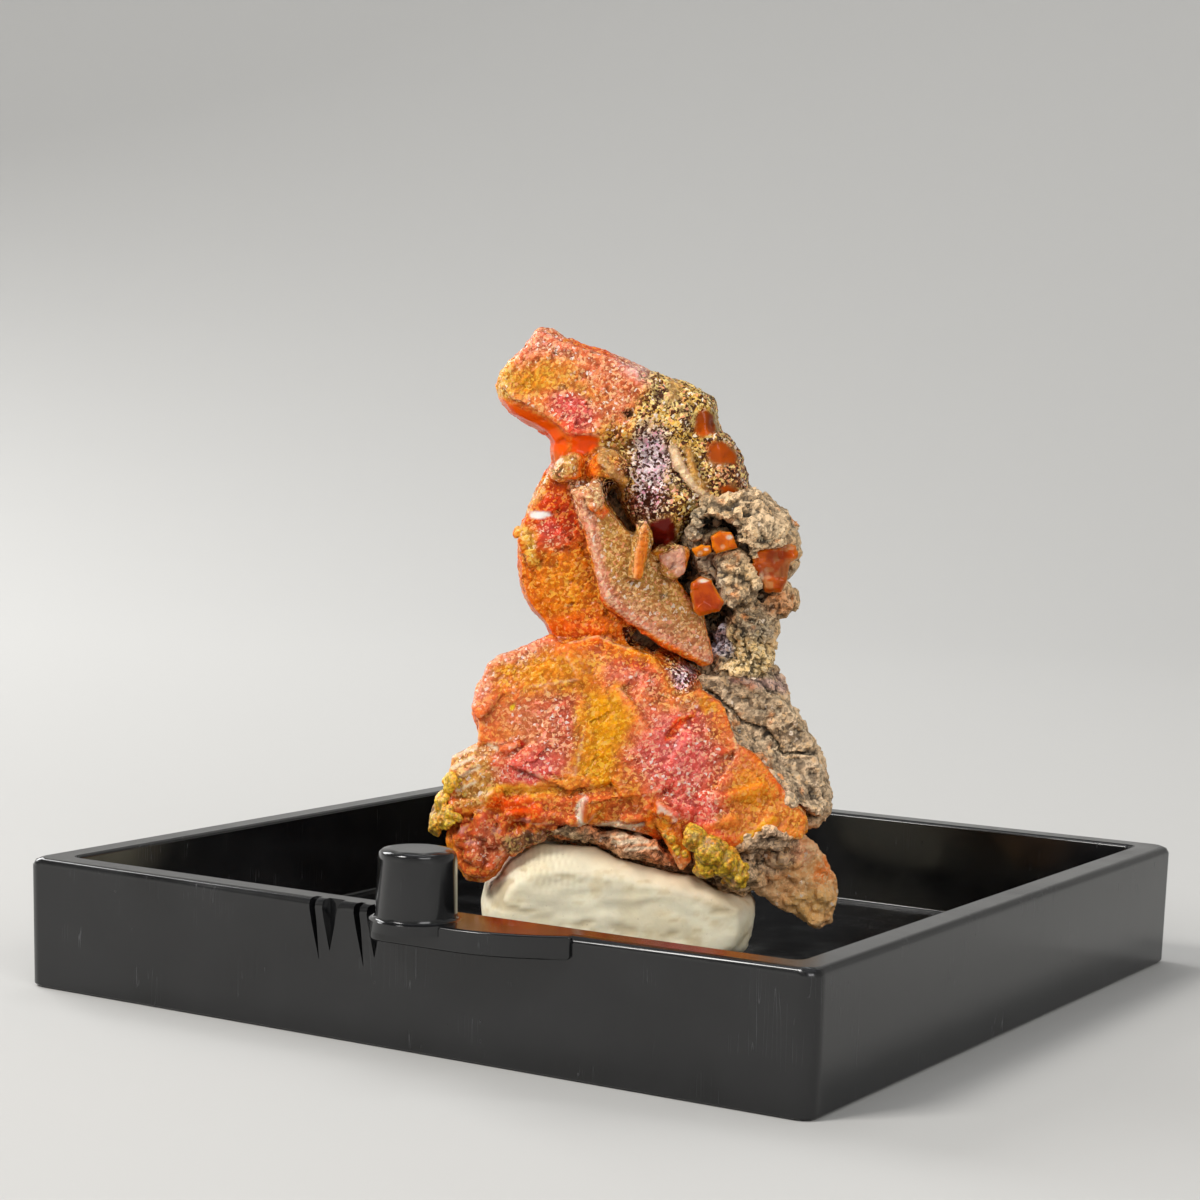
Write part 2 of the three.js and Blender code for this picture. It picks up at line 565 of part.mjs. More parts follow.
/** A tapered cut in the front wall, from its left and right sides at the rim down to a tip. */
function wedge(left, right, tip, tipHeight) {
  const face = -TRAY_WIDTH / 2;
  const [outside, above] = [face - 1, TRAY_HEIGHT + 1];
  const corners = [
    [left, outside, above], [right, outside, above],
    [left, face + POCKET_DEPTH, above], [right, face + POCKET_DEPTH, above],
    [tip - POCKET_TIP_WIDTH / 2, outside, tipHeight], [tip + POCKET_TIP_WIDTH / 2, outside, tipHeight],
    [tip, face + POCKET_TIP_DEPTH, tipHeight],
  ];
  return solidOf(new ConvexGeometry(corners.map(([x, y, z]) => new THREE.Vector3(x, y, z))));
}

/** One pocket, open at the rim: a slim cut and a wide one, with a rib left standing between them. */
function pocket(start) {
  const tip = start + POCKET_WIDTH * 0.6;
  const slim = wedge(start, start + POCKET_RIB, tip - POCKET_RIB, POCKET_TIP);
  const wide = wedge(start + 2 * POCKET_RIB, start + POCKET_WIDTH, tip + POCKET_TIP_WIDTH, POCKET_TIP + 0.6);
  return slim.add(wide);
}

function tray() {
  const body = joined([trayShell(), latchPlate(), latchPost()]);
  return POCKET_STARTS.reduce((cut, start) => cut.subtract(pocket(start)), body);
}

// ---------------------------------------------------------------- the object

const material = (color, roughness, metalness = 0) =>
  new THREE.MeshStandardMaterial({ color, roughness, metalness });

function piece(name, solid, finish, sliver = SLIVER) {
  const mesh = new THREE.Mesh(geometryOf(solid, sliver), finish);
  mesh.name = name;
  return mesh;
}

const object = new THREE.Group();
object.add(piece("display_tray", tray(), material("#101112", 0.18), SHARP_SLIVER));

const specimen = new THREE.Group();
specimen.rotation.z = TURN;
object.add(specimen);

const crystals = cluster();
const aroundCrystals = cluster(GAP + SEAT_SLACK).simplify(SEAT_SLACK);
const seats = SEATED.map(([, at, size, pose]) => tablet(at, size, pose, GAP));
const pits = PITS.map(([at, size, turn]) => lump(at, size, { turn, rough: 0.2, detail: 1 }, 0));
const bareRock = rock().subtract(joined(pits));

specimen.add(piece("wulfenite_cluster", crystals, material("#e2701f", 0.3)));
specimen.add(piece("matrix_rock", bareRock.subtract(aroundCrystals).subtract(joined(seats)),
  material("#857460", 0.9)));
for (const [name, at, size, pose] of SEATED) {
  const whole = tablet(at, size, pose, 0);
  specimen.add(piece(name, whole.subtract(aroundCrystals), material("#c4541c", 0.25)));
}

const CRUSTS = [["mimetite_crust_left", LEFT_KNOBS], ["mimetite_crust_low", LOW_KNOBS]];
const aroundRock = rock(GAP + SEAT_SLACK).simplify(SEAT_SLACK);
for (const [name, list] of CRUSTS) {
  const crust = knobs(list).subtract(aroundCrystals).subtract(aroundRock);
  specimen.add(piece(name, crust, material("#c9a832", 0.6)));
}

const pad = putty()
  .subtract(aroundCrystals)
  .subtract(aroundRock)
  .subtract(joined(CRUSTS.map(([, list]) => knobs(list, GAP))));
specimen.add(piece("mounting_putty", pad, material("#ddd0ae", 0.7)));

export default object;
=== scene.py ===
"""The looks of the wulfenite specimen: fine crystal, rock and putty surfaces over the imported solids."""
import math
from functools import partial

import bmesh
import bpy
import numpy as np
from mathutils import Matrix, Vector
from mathutils.bvhtree import BVHTree


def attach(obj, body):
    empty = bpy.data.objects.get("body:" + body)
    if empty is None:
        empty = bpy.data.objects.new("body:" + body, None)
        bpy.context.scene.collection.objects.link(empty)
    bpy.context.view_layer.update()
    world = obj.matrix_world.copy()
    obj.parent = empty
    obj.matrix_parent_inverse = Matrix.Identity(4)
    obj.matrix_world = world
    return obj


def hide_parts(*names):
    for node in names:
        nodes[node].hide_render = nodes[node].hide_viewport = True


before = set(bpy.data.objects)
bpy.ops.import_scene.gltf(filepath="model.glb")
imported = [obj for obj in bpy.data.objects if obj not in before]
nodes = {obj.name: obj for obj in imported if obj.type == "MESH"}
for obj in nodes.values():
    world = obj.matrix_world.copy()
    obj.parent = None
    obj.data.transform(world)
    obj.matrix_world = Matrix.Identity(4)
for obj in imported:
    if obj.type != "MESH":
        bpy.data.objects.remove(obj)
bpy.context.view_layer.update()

MM = 0.001
TURN = math.radians(31.1)  # how far the specimen is turned in its base
EYE = (91.167, -155.818, 37.053)  # mm, the place the photograph was taken from
FOCAL, PHOTO_WIDTH = 2670.2, 1200  # pixels
RAY_START = -40  # mm in front of the specimen's middle, clear of all its shapes
VOXEL = {"crystals": 0.162, "rock": 0.165, "crust": 0.09, "putty": 0.2}  # mm, the grain of each skin
TO_LOCAL = Matrix.Rotation(-TURN, 4, "Z") @ Matrix.Scale(1 / MM, 4)
TO_FRAME = Matrix.Scale(MM, 4) @ Matrix.Rotation(TURN, 4, "Z")


def rgb(*shades):
    """A linear colour from 8-bit sRGB numbers."""
    return tuple(((c / 255 + 0.055) / 1.055) ** 2.4 if c > 10 else c / 255 / 12.92 for c in shades)


# ---------------------------------------------------------------- camera

def camera():
    """The photograph's viewing angle: 31.1 degrees round to the right and almost level."""
    turn, drop, roll = map(math.radians, (31.135, 3.676, 1.638))
    back = Vector((math.sin(turn) * math.cos(drop), -math.cos(turn) * math.cos(drop), math.sin(drop)))
    right = Vector((0, 0, 1)).cross(back).normalized()
    up = back.cross(right)
    across = right * math.cos(roll) + up * math.sin(roll)
    upward = up * math.cos(roll) - right * math.sin(roll)
    eye = bpy.data.objects.new("camera", bpy.data.cameras.new("camera"))
    eye.data.sensor_width = 36
    eye.data.lens = FOCAL / PHOTO_WIDTH * eye.data.sensor_width
    eye.data.clip_start = 0.01
    eye.matrix_world = Matrix.Translation(Vector(EYE) * MM) @ Matrix(
        (across, upward, back)).transposed().to_4x4()
    bpy.context.scene.collection.objects.link(eye)
    bpy.context.scene.camera = eye


# ---------------------------------------------------------------- noise

def hashed(i, j, k, seed):
    """A number from 0 to 1 for each whole-number cell."""
    h = (i * 668265263 + j * 374761393 + k * 1274126177 + seed * 974634777).astype(np.uint32)
    h ^= h >> 15
    h *= np.uint32(0x2C1B3C6D)
    h ^= h >> 12
    h *= np.uint32(0x297A2D39)
    h ^= h >> 15
    return h / 4294967296.0


CORNERS = [np.array([n & 1, n >> 1 & 1, n >> 2]) for n in range(8)]  # of a cell


def noise(points, size, seed):
    """Smooth noise from -1 to 1 with cells of a size in millimetres."""
    q = points / size
    cell = np.floor(q).astype(np.int64)
    f = q - cell
    f = f * f * (3 - 2 * f)
    total = np.zeros(len(points))
    for corner in CORNERS:
        total += np.prod(np.where(corner, f, 1 - f), axis=1) * hashed(*(cell + corner).T, seed)
    return total * 2 - 1


def fractal(points, size, seed, octaves=4, gain=0.5):
    """Noise with finer and fainter noise on it."""
    total, norm = 0, 0
    for octave in range(octaves):
        weight = gain ** octave
        total = total + weight * noise(points, size / 2 ** octave, seed + octave * 17)
        norm += weight
    return total / norm


def warped(points, size, amount, seed):
    """The points, moved a little by noise, for edges that aren't straight."""
    return points + amount * np.stack([noise(points, size, seed + n) for n in range(3)], axis=1)


def cells_near(points, size, seed):
    """For each of the eight cells about a point: the point and the cell in cell sizes, and its numbers."""
    q = points / size
    low = np.floor(q - 0.5).astype(np.int64)
    for corner in CORNERS:
        cell = low + corner
        yield q, cell, [hashed(*cell.T, seed + n) for n in range(7)]


def crystals(points, size, seed, flatness=0.6):
    """Height, 0 to 1, of a coat of small square crystals that stick out at all angles."""
    best, number = np.zeros((2, len(points)))
    for q, cell, rand in cells_near(points, size, seed):
        offset = q - (cell + 0.15 + 0.7 * np.stack(rand[:3], axis=1))
        polar, turn = np.arccos(2 * rand[3] - 1), 2 * np.pi * rand[4]
        a = np.stack([np.sin(polar) * np.cos(turn), np.sin(polar) * np.sin(turn), np.cos(polar)], axis=1)
        b = np.stack([-np.sin(turn), np.cos(turn), 0 * turn], axis=1)
        c = np.cross(a, b)
        reach = np.maximum(np.abs((offset * a).sum(1)) / flatness,
                           np.maximum(np.abs((offset * b).sum(1)), np.abs((offset * c).sum(1))))
        height = (0.75 + 0.5 * rand[5]) - reach
        higher = height > best
        best = np.where(higher, height, best)
        number = np.where(higher, rand[6], number)
    return np.clip(best, 0, 1), number


def facets(points, size, seed):
    """Flat chips tilted at random, each about a size across: -0.5 to 0.5."""
    first, value = np.full(len(points), np.inf), np.zeros(len(points))
    for q, cell, rand in cells_near(points, size, seed):
        offset = q - (cell + 0.1 + 0.8 * np.stack(rand[:3], axis=1))
        distance = np.linalg.norm(offset, axis=1)
        lean = np.stack(rand[3:6], axis=1) - 0.5
        value = np.where(distance < first, (offset * lean).sum(1) + 0.3 * (rand[6] - 0.5), value)
        first = np.minimum(first, distance)
    return value


def step(low, high, value):
    """0 below low, 1 above high and a smooth slope between them."""
    t = np.clip((value - low) / (high - low), 0, 1)
    return t * t * (3 - 2 * t)


# ---------------------------------------------------------------- zones

def path(*numbers):
    """Points of the XZ plane, given as x, z, x, z and so on."""
    return list(zip(numbers[::2], numbers[1::2]))


def edge_distance(xz, line, closed=True):
    """Distance in the XZ plane to a line of points, in millimetres."""
    line = np.array(line)
    ends = np.roll(line, -1, axis=0) if closed else line[1:]
    nearest = np.full(len(xz), 1e9)
    for a, b in zip(line, ends):
        t = np.clip(((xz - a) @ (b - a)) / max((b - a) @ (b - a), 1e-9), 0, 1)
        nearest = np.minimum(nearest, np.linalg.norm(xz - a - t[:, None] * (b - a), axis=1))
    return nearest


def depth_in(xz, polygon):
    """How far each point lies inside a polygon, negative outside."""
    inside = np.zeros(len(xz), bool)
    line = np.array(polygon)
    for (ax, az), (bx, bz) in zip(line, np.roll(line, -1, axis=0)):
        if az == bz:
            continue
        crosses = (az > xz[:, 1]) != (bz > xz[:, 1])
        inside ^= crosses & (xz[:, 0] < (bx - ax) * (xz[:, 1] - az) / (bz - az) + ax)
    return np.where(inside, 1, -1) * edge_distance(xz, polygon)


def area(polygon, soft=0.3):
    """1 inside an outline of the XZ plane, 0 outside."""
    return lambda p: step(-soft, soft, depth_in(p[:, [0, 2]], polygon))


def spot(centre, radii, turn=0.0, soft=0.5):
    """1 in an ellipse about a point of the XZ plane, fading out past its edge."""
    c, s = math.cos(math.radians(turn)), math.sin(math.radians(turn))

    def weight(p):
        x, z = p[:, 0] - centre[0], p[:, 2] - centre[1]
        reach = np.hypot((x * c + z * s) / radii[0], (z * c - x * s) / radii[1])
        return 1 - step(1 - soft, 1 + soft, reach)
    return weight


def most(*weights):
    """The largest of several weights at each point."""
    return np.maximum.reduce(weights)


def near_side(p, front):
    """Gives a function that weighs an outline's inside, on the near side alone."""
    return lambda outline, soft, at=p: area(outline, soft)(at) * front


def stroke(line, radius, soft=0.15):
    """1 along a line of the XZ plane, 0 past its radius."""
    return lambda p: 1 - step(radius - soft, radius + soft, edge_distance(p[:, [0, 2]], line, False))


def carved(p, normal, holes):
    """How far the near side is cut back by holes, each an outline and a depth."""
    facing = step(0.05, 0.4, -normal[:, 1])
    return sum(area(outline, 0.14)(p) * facing * depth for outline, depth in holes)


def plate_edges(p, plates):
    """Distance to the nearest plate's edge, in the XZ plane."""
    return np.minimum.reduce([edge_distance(p[:, [0, 2]], plate[0]) for plate in plates])


# ---------------------------------------------------------------- meshes

def tube(line, radius):
    """A rounded rod along [x, y, z] points, in specimen millimetres: vertices and faces."""
    line = np.array(line, float)
    verts, faces, sides = [], [], 8
    for n, point in enumerate(line):
        ahead = line[min(n + 1, len(line) - 1)] - line[max(n - 1, 0)]
        ahead /= np.linalg.norm(ahead)
        side = np.cross(ahead, (0, 1, 0))
        side /= np.linalg.norm(side)
        other = np.cross(ahead, side)
        size = radius * (0.6 if n in (0, len(line) - 1) else 1)
        for s in range(sides):
            a = 2 * math.pi * s / sides
            verts.append(point + size * (side * math.cos(a) + other * math.sin(a)))
    for n in range(len(line) - 1):
        for s in range(sides):
            t = (s + 1) % sides
            faces.append((n * sides + s, n * sides + t, (n + 1) * sides + t, (n + 1) * sides + s))
    faces.append(tuple(range(sides - 1, -1, -1)))
    faces.append(tuple(range((len(line) - 1) * sides, len(line) * sides)))
    return verts, faces


def stacked(rows, count):
    """The faces of a solid made of rings of points, closed at both ends."""
    faces = [tuple(range(count)), tuple(range(rows * count - 1, (rows - 1) * count - 1, -1))]
    for r, n in ((r, n) for r in range(rows - 1) for n in range(count)):
        m = (n + 1) % count
        faces.append((r * count + n, (r + 1) * count + n, (r + 1) * count + m, r * count + m))
    return faces


def wound(rim):
    """An outline, turned so that a face made of it looks at the viewer."""
    turn = sum(x * w - y * z for (x, z), (y, w) in zip(rim, np.roll(rim, -1, axis=0)))
    return rim[::-1] if turn < 0 else rim


def slab(centre, sizes, turns, cut=0.28):
    """A tabular crystal with cut corners, as its vertices and faces, in specimen millimetres."""
    w, h, t = (v / 2 for v in sizes)
    ring = [(1, 1 - cut), (1 - cut, 1), (cut - 1, 1), (-1, 1 - cut),
            (-1, cut - 1), (cut - 1, -1), (1 - cut, -1), (1, cut - 1)]
    rows = [(0.86, -t), (1, -0.5 * t), (1, 0.5 * t), (0.86, t)]
    about_x, about_y, about_z = (Matrix.Rotation(math.radians(turn), 3, axis)
                                 for turn, axis in zip(turns, "XYZ"))
    spin = about_z @ about_y @ about_x
    verts = [Vector(centre) + spin @ Vector((w * x * s, depth, h * z * s))
             for s, depth in rows for x, z in ring]
    return verts, stacked(len(rows), len(ring))


def merged(name, shapes):
    """One object in millimetres from several (vertices, faces)."""
    verts, faces = [], []
    for v, f in shapes:
        base = len(verts)
        verts.extend(tuple(x) for x in v)
        faces.extend(tuple(i + base for i in face) for face in f)
    mesh = bpy.data.meshes.new(name)
    mesh.from_pydata(verts, [], faces)
    mesh.validate()
    ob = bpy.data.objects.new(name, mesh)
    bpy.context.scene.collection.objects.link(ob)
    return ob


def emptied(bm, offset=Vector()):
    """A bmesh's vertices, moved by an offset, and its faces."""
    shape = [v.co + offset for v in bm.verts], [tuple(v.index for v in f.verts) for f in bm.faces]
    bm.free()
    return shape


def node_shape(name):
    """A CAD node's vertices and faces in specimen millimetres."""
    mesh = nodes[name].data.copy()
    mesh.transform(TO_LOCAL)
    bm = bmesh.new()
    bm.from_mesh(mesh)
    bmesh.ops.remove_doubles(bm, verts=bm.verts, dist=1e-5)
    return emptied(bm)


def ball(centre, radius):
    """One rounded knob."""
    bm = bmesh.new()
    bmesh.ops.create_icosphere(bm, subdivisions=2, radius=radius)
    return emptied(bm, Vector(centre))


def front_of(shape, x, z, proud=0.0):
    """The point of a shape's near side at x and z, or a little in front of it; None past its outline."""
    hit = BVHTree.FromPolygons(*shape).ray_cast(Vector((x, RAY_START, z)), Vector((0, 1, 0)))[0]
    return hit and (x, hit.y - proud, z)


def laid(shape, line, proud):
    """The points of a shape's near side along a line, where it has any."""
    return [place for place in (front_of(shape, x, z, proud) for x, z in line) if place]


def plate_on(shape, outline, proud, thick, tilt=(0, 0)):
    """A flat plate of an outline, laid on a shape's near side so that it stands a little proud."""
    tree = BVHTree.FromPolygons(*shape)
    rim = np.array(outline)
    middle = rim.mean(0)
    rows = []
    for x, z in np.vstack([middle + s * (rim - middle) for s in (0.05, 0.35, 0.65, 0.9)]):
        hit = tree.ray_cast(Vector((x, RAY_START, z)), Vector((0, 1, 0)))[0]
        if hit:
            rows.append((1, x - middle[0], z - middle[1], hit.y))
    rows = np.array(rows)
    rows = rows[rows[:, 3] < np.median(rows[:, 3]) + 1.2]
    fit, *_ = np.linalg.lstsq(rows[:, :3], rows[:, 3], rcond=None)
    rim = wound(rim)
    near = [fit[0] - proud + (fit[1] + tilt[0]) * (x - middle[0]) + (fit[2] + tilt[1]) * (z - middle[1])
            for x, z in rim]
    return [(x, y + back, z) for back in (0, thick) for (x, z), y in zip(rim, near)], stacked(2, len(rim))


def littered(shape, outline, count, proud, low, high, seed):
    """Small angular chips at random inside an outline on a shape's near side."""
    random = np.random.default_rng(seed)
    rim = np.array(outline)
    chips = []
    while len(chips) < count:
        x, z = rim.min(0) + random.random(2) * np.ptp(rim, axis=0)
        size, turns = low + (high - low) * random.random(3), random.random(3) * 180
        if depth_in(np.array([[x, z]]), outline)[0] > -0.1:
            chips += [slab(place, size, turns, 0.4) for place in laid(shape, [(x, z)], proud)]
    return chips


def scattered(shape, count, seed):
    """Points spread at random over a shape, with the outward direction at each."""
    verts, faces = shape
    v = np.array([tuple(c) for c in verts])
    corners = [(f[0], f[n], f[n + 1]) for f in faces for n in range(1, len(f) - 1)]
    a, b, c = (v[[t[n] for t in corners]] for n in range(3))
    cross = np.cross(b - a, c - a)
    size = np.linalg.norm(cross, axis=1)
    random = np.random.default_rng(seed)
    picked = random.choice(len(corners), count, p=size / size.sum())
    s, t = random.random((2, count))
    s, t = np.where(s + t > 1, 1 - s, s), np.where(s + t > 1, 1 - t, t)
    points = a[picked] + s[:, None] * (b - a)[picked] + t[:, None] * (c - a)[picked]
    return points, cross[picked] / np.maximum(size[picked, None], 1e-9)


def evaluated(ob):
    """Gives an object the mesh that its modifiers make."""
    graph = bpy.context.evaluated_depsgraph_get()
    graph.update()
    mesh = bpy.data.meshes.new_from_object(ob.evaluated_get(graph), depsgraph=graph)
    ob.modifiers.clear()
    ob.data = mesh
    return mesh


def remeshed(ob, voxel, smooth):
    """The union of all an object's parts as one fine closed skin."""
    fine = ob.modifiers.new("voxels", "REMESH")
    fine.mode, fine.voxel_size = "VOXEL", voxel
    if smooth:
        soft = ob.modifiers.new("soft", "SMOOTH")
        soft.factor, soft.iterations = 0.5, smooth
    return evaluated(ob)


def arrays(mesh):
    """A mesh's points and their outward directions."""
    points = np.empty(len(mesh.vertices) * 3)
    mesh.vertices.foreach_get("co", points)
    normals = np.empty(len(mesh.vertices) * 3)
    mesh.vertex_normals.foreach_get("vector", normals)
    return points.reshape(-1, 3), normals.reshape(-1, 3)


def skinned(name, shapes, voxel, smooth):
    """A new object with one fine skin round several shapes, with its mesh, points and directions."""
    ob = merged(name, shapes)
    mesh = remeshed(ob, voxel, smooth)
    return ob, mesh, *arrays(mesh)


def sunk(mesh, rounds):
    """How far each vertex lies below the smoothed surface round it, in millimetres."""
    p, normal = arrays(mesh)
    ends = np.empty(len(mesh.edges) * 2, int)
    mesh.edges.foreach_get("vertices", ends)
    here, there = np.concatenate([ends[::2], ends[1::2]]), np.concatenate([ends[1::2], ends[::2]])
    joined = np.bincount(here, minlength=len(p))[:, None]
    q = p
    for _ in range(rounds):
        q = np.stack([np.bincount(here, q[there, n], len(p)) for n in range(3)], axis=1) / joined
    return ((q - p) * normal).sum(1)


def moved(mesh, points):
    """Puts a mesh's vertices at new points."""
    mesh.vertices.foreach_set("co", points.ravel())
    mesh.update()


def painted(mesh, **layers):
    """Stores colours and plain numbers on the vertices, for the material to read."""
    for name, values in layers.items():
        if np.ndim(values) == 2:
            colour = np.ones((len(mesh.vertices), 4))
            colour[:, :3] = np.maximum(values / np.maximum(values.max(axis=1, keepdims=True), 1), 0.002)
            layer = mesh.color_attributes.new(name, "FLOAT_COLOR", "POINT")
            layer.data.foreach_set("color", colour.ravel())
        else:
            layer = mesh.attributes.new(name, "FLOAT", "POINT")
            layer.data.foreach_set("value", values)


def evenly(points, colour):
    """One 8-bit colour for every point, as linear numbers."""
    return np.tile(rgb(*colour), (len(points), 1))


def blend(tint, weight, colour):
    """Shifts each point's colour towards one 8-bit colour, all the way where the weight is 1."""
    tint += weight[:, None] * (np.array(rgb(*colour)) - tint)


def placed(ob, finish, slot, *replaced, glassy=None):
    """Puts a piece made in specimen millimetres into the frame; glassy marks its smooth vertices."""
    ob.data.transform(TO_FRAME)
    faces = ob.data.polygons
    smooth = [glassy is not None and bool(glassy[face.vertices[0]]) for face in faces]
    faces.foreach_set("use_smooth", smooth)
    ob.data.materials.clear()
    ob.data.materials.append(finish)
    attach(ob, "root")
    if replaced:
        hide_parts(*replaced)
    return ob


# ---------------------------------------------------------------- materials

def linked(value):
    """Tells a (node, output) pair from a plain value."""
    return isinstance(value, tuple) and isinstance(value[0], bpy.types.Node)


class Nodes:
    """A material's node tree. Each value is a plain one or a linked (node, output) pair."""

    def __init__(self, name):
        self.material = bpy.data.materials.new(name)
        self.material.use_nodes = True
        self.tree = self.material.node_tree
        self.tree.nodes.clear()
        self.shader = self.add("ShaderNodeBsdfPrincipled")
        self.add("ShaderNodeOutputMaterial", Surface=(self.shader, "BSDF"))
        self.place = self.add("ShaderNodeTexCoord"), "Object"

    def feed(self, node, socket, value):
        if linked(value):
            self.tree.links.new(value[0].outputs[value[1]], node.inputs[socket])
        else:
            node.inputs[socket].default_value = value

    def add(self, kind, **values):
        """A node; names with a leading underscore are its settings, the others its sockets."""
        node = self.tree.nodes.new(kind)
        for key, value in values.items():
            if key.startswith("_"):
                setattr(node, key[1:], value)
            else:
                self.feed(node, key.replace("__", " "), value)
        return node

    def set(self, **values):
        for key, value in values.items():
            self.feed(self.shader, key.replace("__", " "), value)
        return self.material

    def painted(self, *names):
        """Values stored on the vertices: the colours tint, spark and gap (its painted highlight and painted
        shade copies), or plain numbers.
        """
        return [(self.add("ShaderNodeAttribute", _attribute_name=name),
                 "Color" if name in ("tint", "spark", "gap") else "Fac") for name in names]

    def noise(self, size, detail=3.0, roughness=0.55, scale=None, turn=(0, 0, 0)):
        """Noise with features of a size in millimetres, stretched where a scale is given."""
        place = self.place
        if scale:
            place = self.add("ShaderNodeMapping", Vector=place, Scale=scale, Rotation=turn), "Vector"
        return self.add("ShaderNodeTexNoise", Vector=place, Scale=1 / (size * MM), Detail=detail,
                        Roughness=roughness), "Fac"

    def cells(self, size, place, output):
        return self.add("ShaderNodeTexVoronoi", Vector=place, Scale=1 / (size * MM)), output

    def chips(self, size):
        """Tiny facets with wavy edges: a number for each, mostly 0 to 1, and two more."""
        wave = self.add("ShaderNodeVectorMath", _operation="MULTIPLY_ADD")
        for socket, value in enumerate(((self.noise(1.4 * size, 0.0)[0], "Color"), (1.2 * size * MM,) * 3,
                                        self.place)):
            self.feed(wave, socket, value)
        parts = self.add("ShaderNodeSeparateColor", Color=self.cells(size, (wave, "Vector"), "Color"))
        grain = self.ramp(self.noise(0.6 * size, 1.0), 0.3, 0.7, -0.2, 0.2)
        return self.maths("ADD", (parts, "Red"), grain), (parts, "Green"), (parts, "Blue")

    def ramp(self, value, low, high, start=0.0, end=1.0):
        return self.add("ShaderNodeMapRange", Value=value, From__Min=low, From__Max=high, To__Min=start,
                        To__Max=end), "Result"

    def maths(self, operation, a, b=0.0):
        node = self.add("ShaderNodeMath", _operation=operation)
        self.feed(node, 0, a)
        self.feed(node, 1, b)
        return node, "Value"

    def mix(self, factor, a, b, kind="MIX"):
        """A colour between two."""
        node = self.add("ShaderNodeMix", _data_type="RGBA", _blend_type=kind)
        for socket, value in ((0, factor), (6, a), (7, b)):
            self.feed(node, socket, value if socket == 0 or linked(value) else (*value, 1))
        return node, 2

    def bump(self, *layers):
        """Stacked bumps, each a height map, a strength and a height in millimetres."""
        last = None
        for height, strength, size in layers:
            bump = self.add("ShaderNodeBump", Height=height, Strength=strength, Distance=size * MM)
            if last:
                self.feed(bump, "Normal", last)
            last = bump, "Normal"
        return last


def grained_material(name, size, accent, glints, relief, bare, coated, **values):
    """A coat of tiny facets, painted as lit and shaded ones; coat is 0 where the surface is bare.

    Size is a facet's width in mm, glints the share of white ones, relief the strength of a coarser
    bump, and bare and coated are the roughness without and with the coat.
    """
    n = Nodes(name)
    tint, spark, gap, coat, glint = n.painted("tint", "spark", "gap", "coat", "glint")
    level, green, blue = n.chips(size)
    # chips at the low end take the painted shade colour, those at the high end the painted highlight
    # colour, and a few turn white as painted glints
    gloom = n.maths("MULTIPLY", n.ramp(level, 0.4, 0.3), coat)
    glow = n.maths("MULTIPLY", n.ramp(level, 0.64, 0.74), coat)
    lit = n.maths("MULTIPLY", n.ramp(blue, 1 - glints, 1.01 - glints), glint)
    own = n.mix(lit, n.mix(n.ramp(green, 0.7, 0.74, 0, 0.8), spark, accent, "MULTIPLY"), rgb(255, 244, 232))
    layers = [(level, n.ramp(coat, 0, 1, 0.02, 0.7), 0.04)]
    if relief:
        layers.insert(0, (n.noise(0.5, 4.0, 0.7), relief, 0.2))
    return n.set(Base__Color=n.mix(glow, n.mix(gloom, tint, gap), own), Normal=n.bump(*layers),
                 Roughness=n.ramp(coat, 0, 1, bare, coated), **values)


def seated_material(name, clear):
    """A clean small crystal: a little see-through, with cloudy patches and fine growth lines."""
    n = Nodes(name)
    tint, = n.painted("tint")
    streak = n.noise(0.5, 2.0, 0.5, (1, 1, 5), (0.4, 0.3, 0))
    deep = n.mix(1.0, tint, (0.74, 0.52, 0.4), "MULTIPLY")
    body = n.mix(n.ramp(n.noise(0.9), 0.4, 0.6), deep, tint)
    # Painted glow: surfaces seen edge-on take a brighter orange.
    edge = n.maths("MULTIPLY", (n.add("ShaderNodeLayerWeight", Blend=0.35), "Facing"), 0.25)
    return n.set(Base__Color=n.mix(edge, body, (0.95, 0.42, 0.06)),
                 Roughness=n.ramp(streak, 0.3, 0.7, 0.05, 0.2),
                 Normal=n.bump((streak, 0.35, 0.03)), IOR=1.6, Specular__IOR__Level=0.1,
                 Transmission__Weight=clear, Subsurface__Weight=0.25, Subsurface__Radius=(1.0, 0.25, 0.04),
                 Subsurface__Scale=0.9 * MM)


def crust_material(name):
    """Yellow-green mimetite: waxy knobs with a fine grain."""
    n = Nodes(name)
    tint, = n.painted("tint")
    grain = n.noise(0.18, 3.0, 0.6)
    colour = n.mix(1.0, tint, n.ramp(grain, 0.35, 0.65, 0.55, 1.4), "MULTIPLY")
    colour = n.mix(n.ramp(grain, 0.66, 0.72, 0, 0.7), colour, rgb(255, 240, 190))
    return n.set(Base__Color=colour, Roughness=n.ramp(grain, 0.3, 0.7, 0.28, 0.55),
                 Normal=n.bump((grain, 0.6, 0.06)), IOR=1.6, Subsurface__Weight=0.25,
                 Subsurface__Radius=(0.9, 0.6, 0.1), Subsurface__Scale=0.5 * MM)


def putty_material(name):
    """Matt cream tack: soft mottling, tiny pits and faint greasy marks."""
    n = Nodes(name)
    tint, = n.painted("tint")
    cloud, fleck = n.noise(2.2, 4.0, 0.6), n.noise(0.3, 3.0, 0.7)
    colour = n.mix(1.0, tint, n.ramp(cloud, 0.3, 0.7, 0.88, 1.08), "MULTIPLY")
    colour = n.mix(n.ramp(fleck, 0.34, 0.28, 0, 0.35), colour, rgb(150, 128, 92))
    return n.set(Base__Color=colour, Roughness=n.ramp(cloud, 0.35, 0.65, 0.5, 0.72),
                 Normal=n.bump((cloud, 0.2, 0.12), (fleck, 0.35, 0.04)), IOR=1.48, Subsurface__Weight=0.15,
                 Subsurface__Radius=(0.9, 0.6, 0.35), Subsurface__Scale=0.8 * MM)


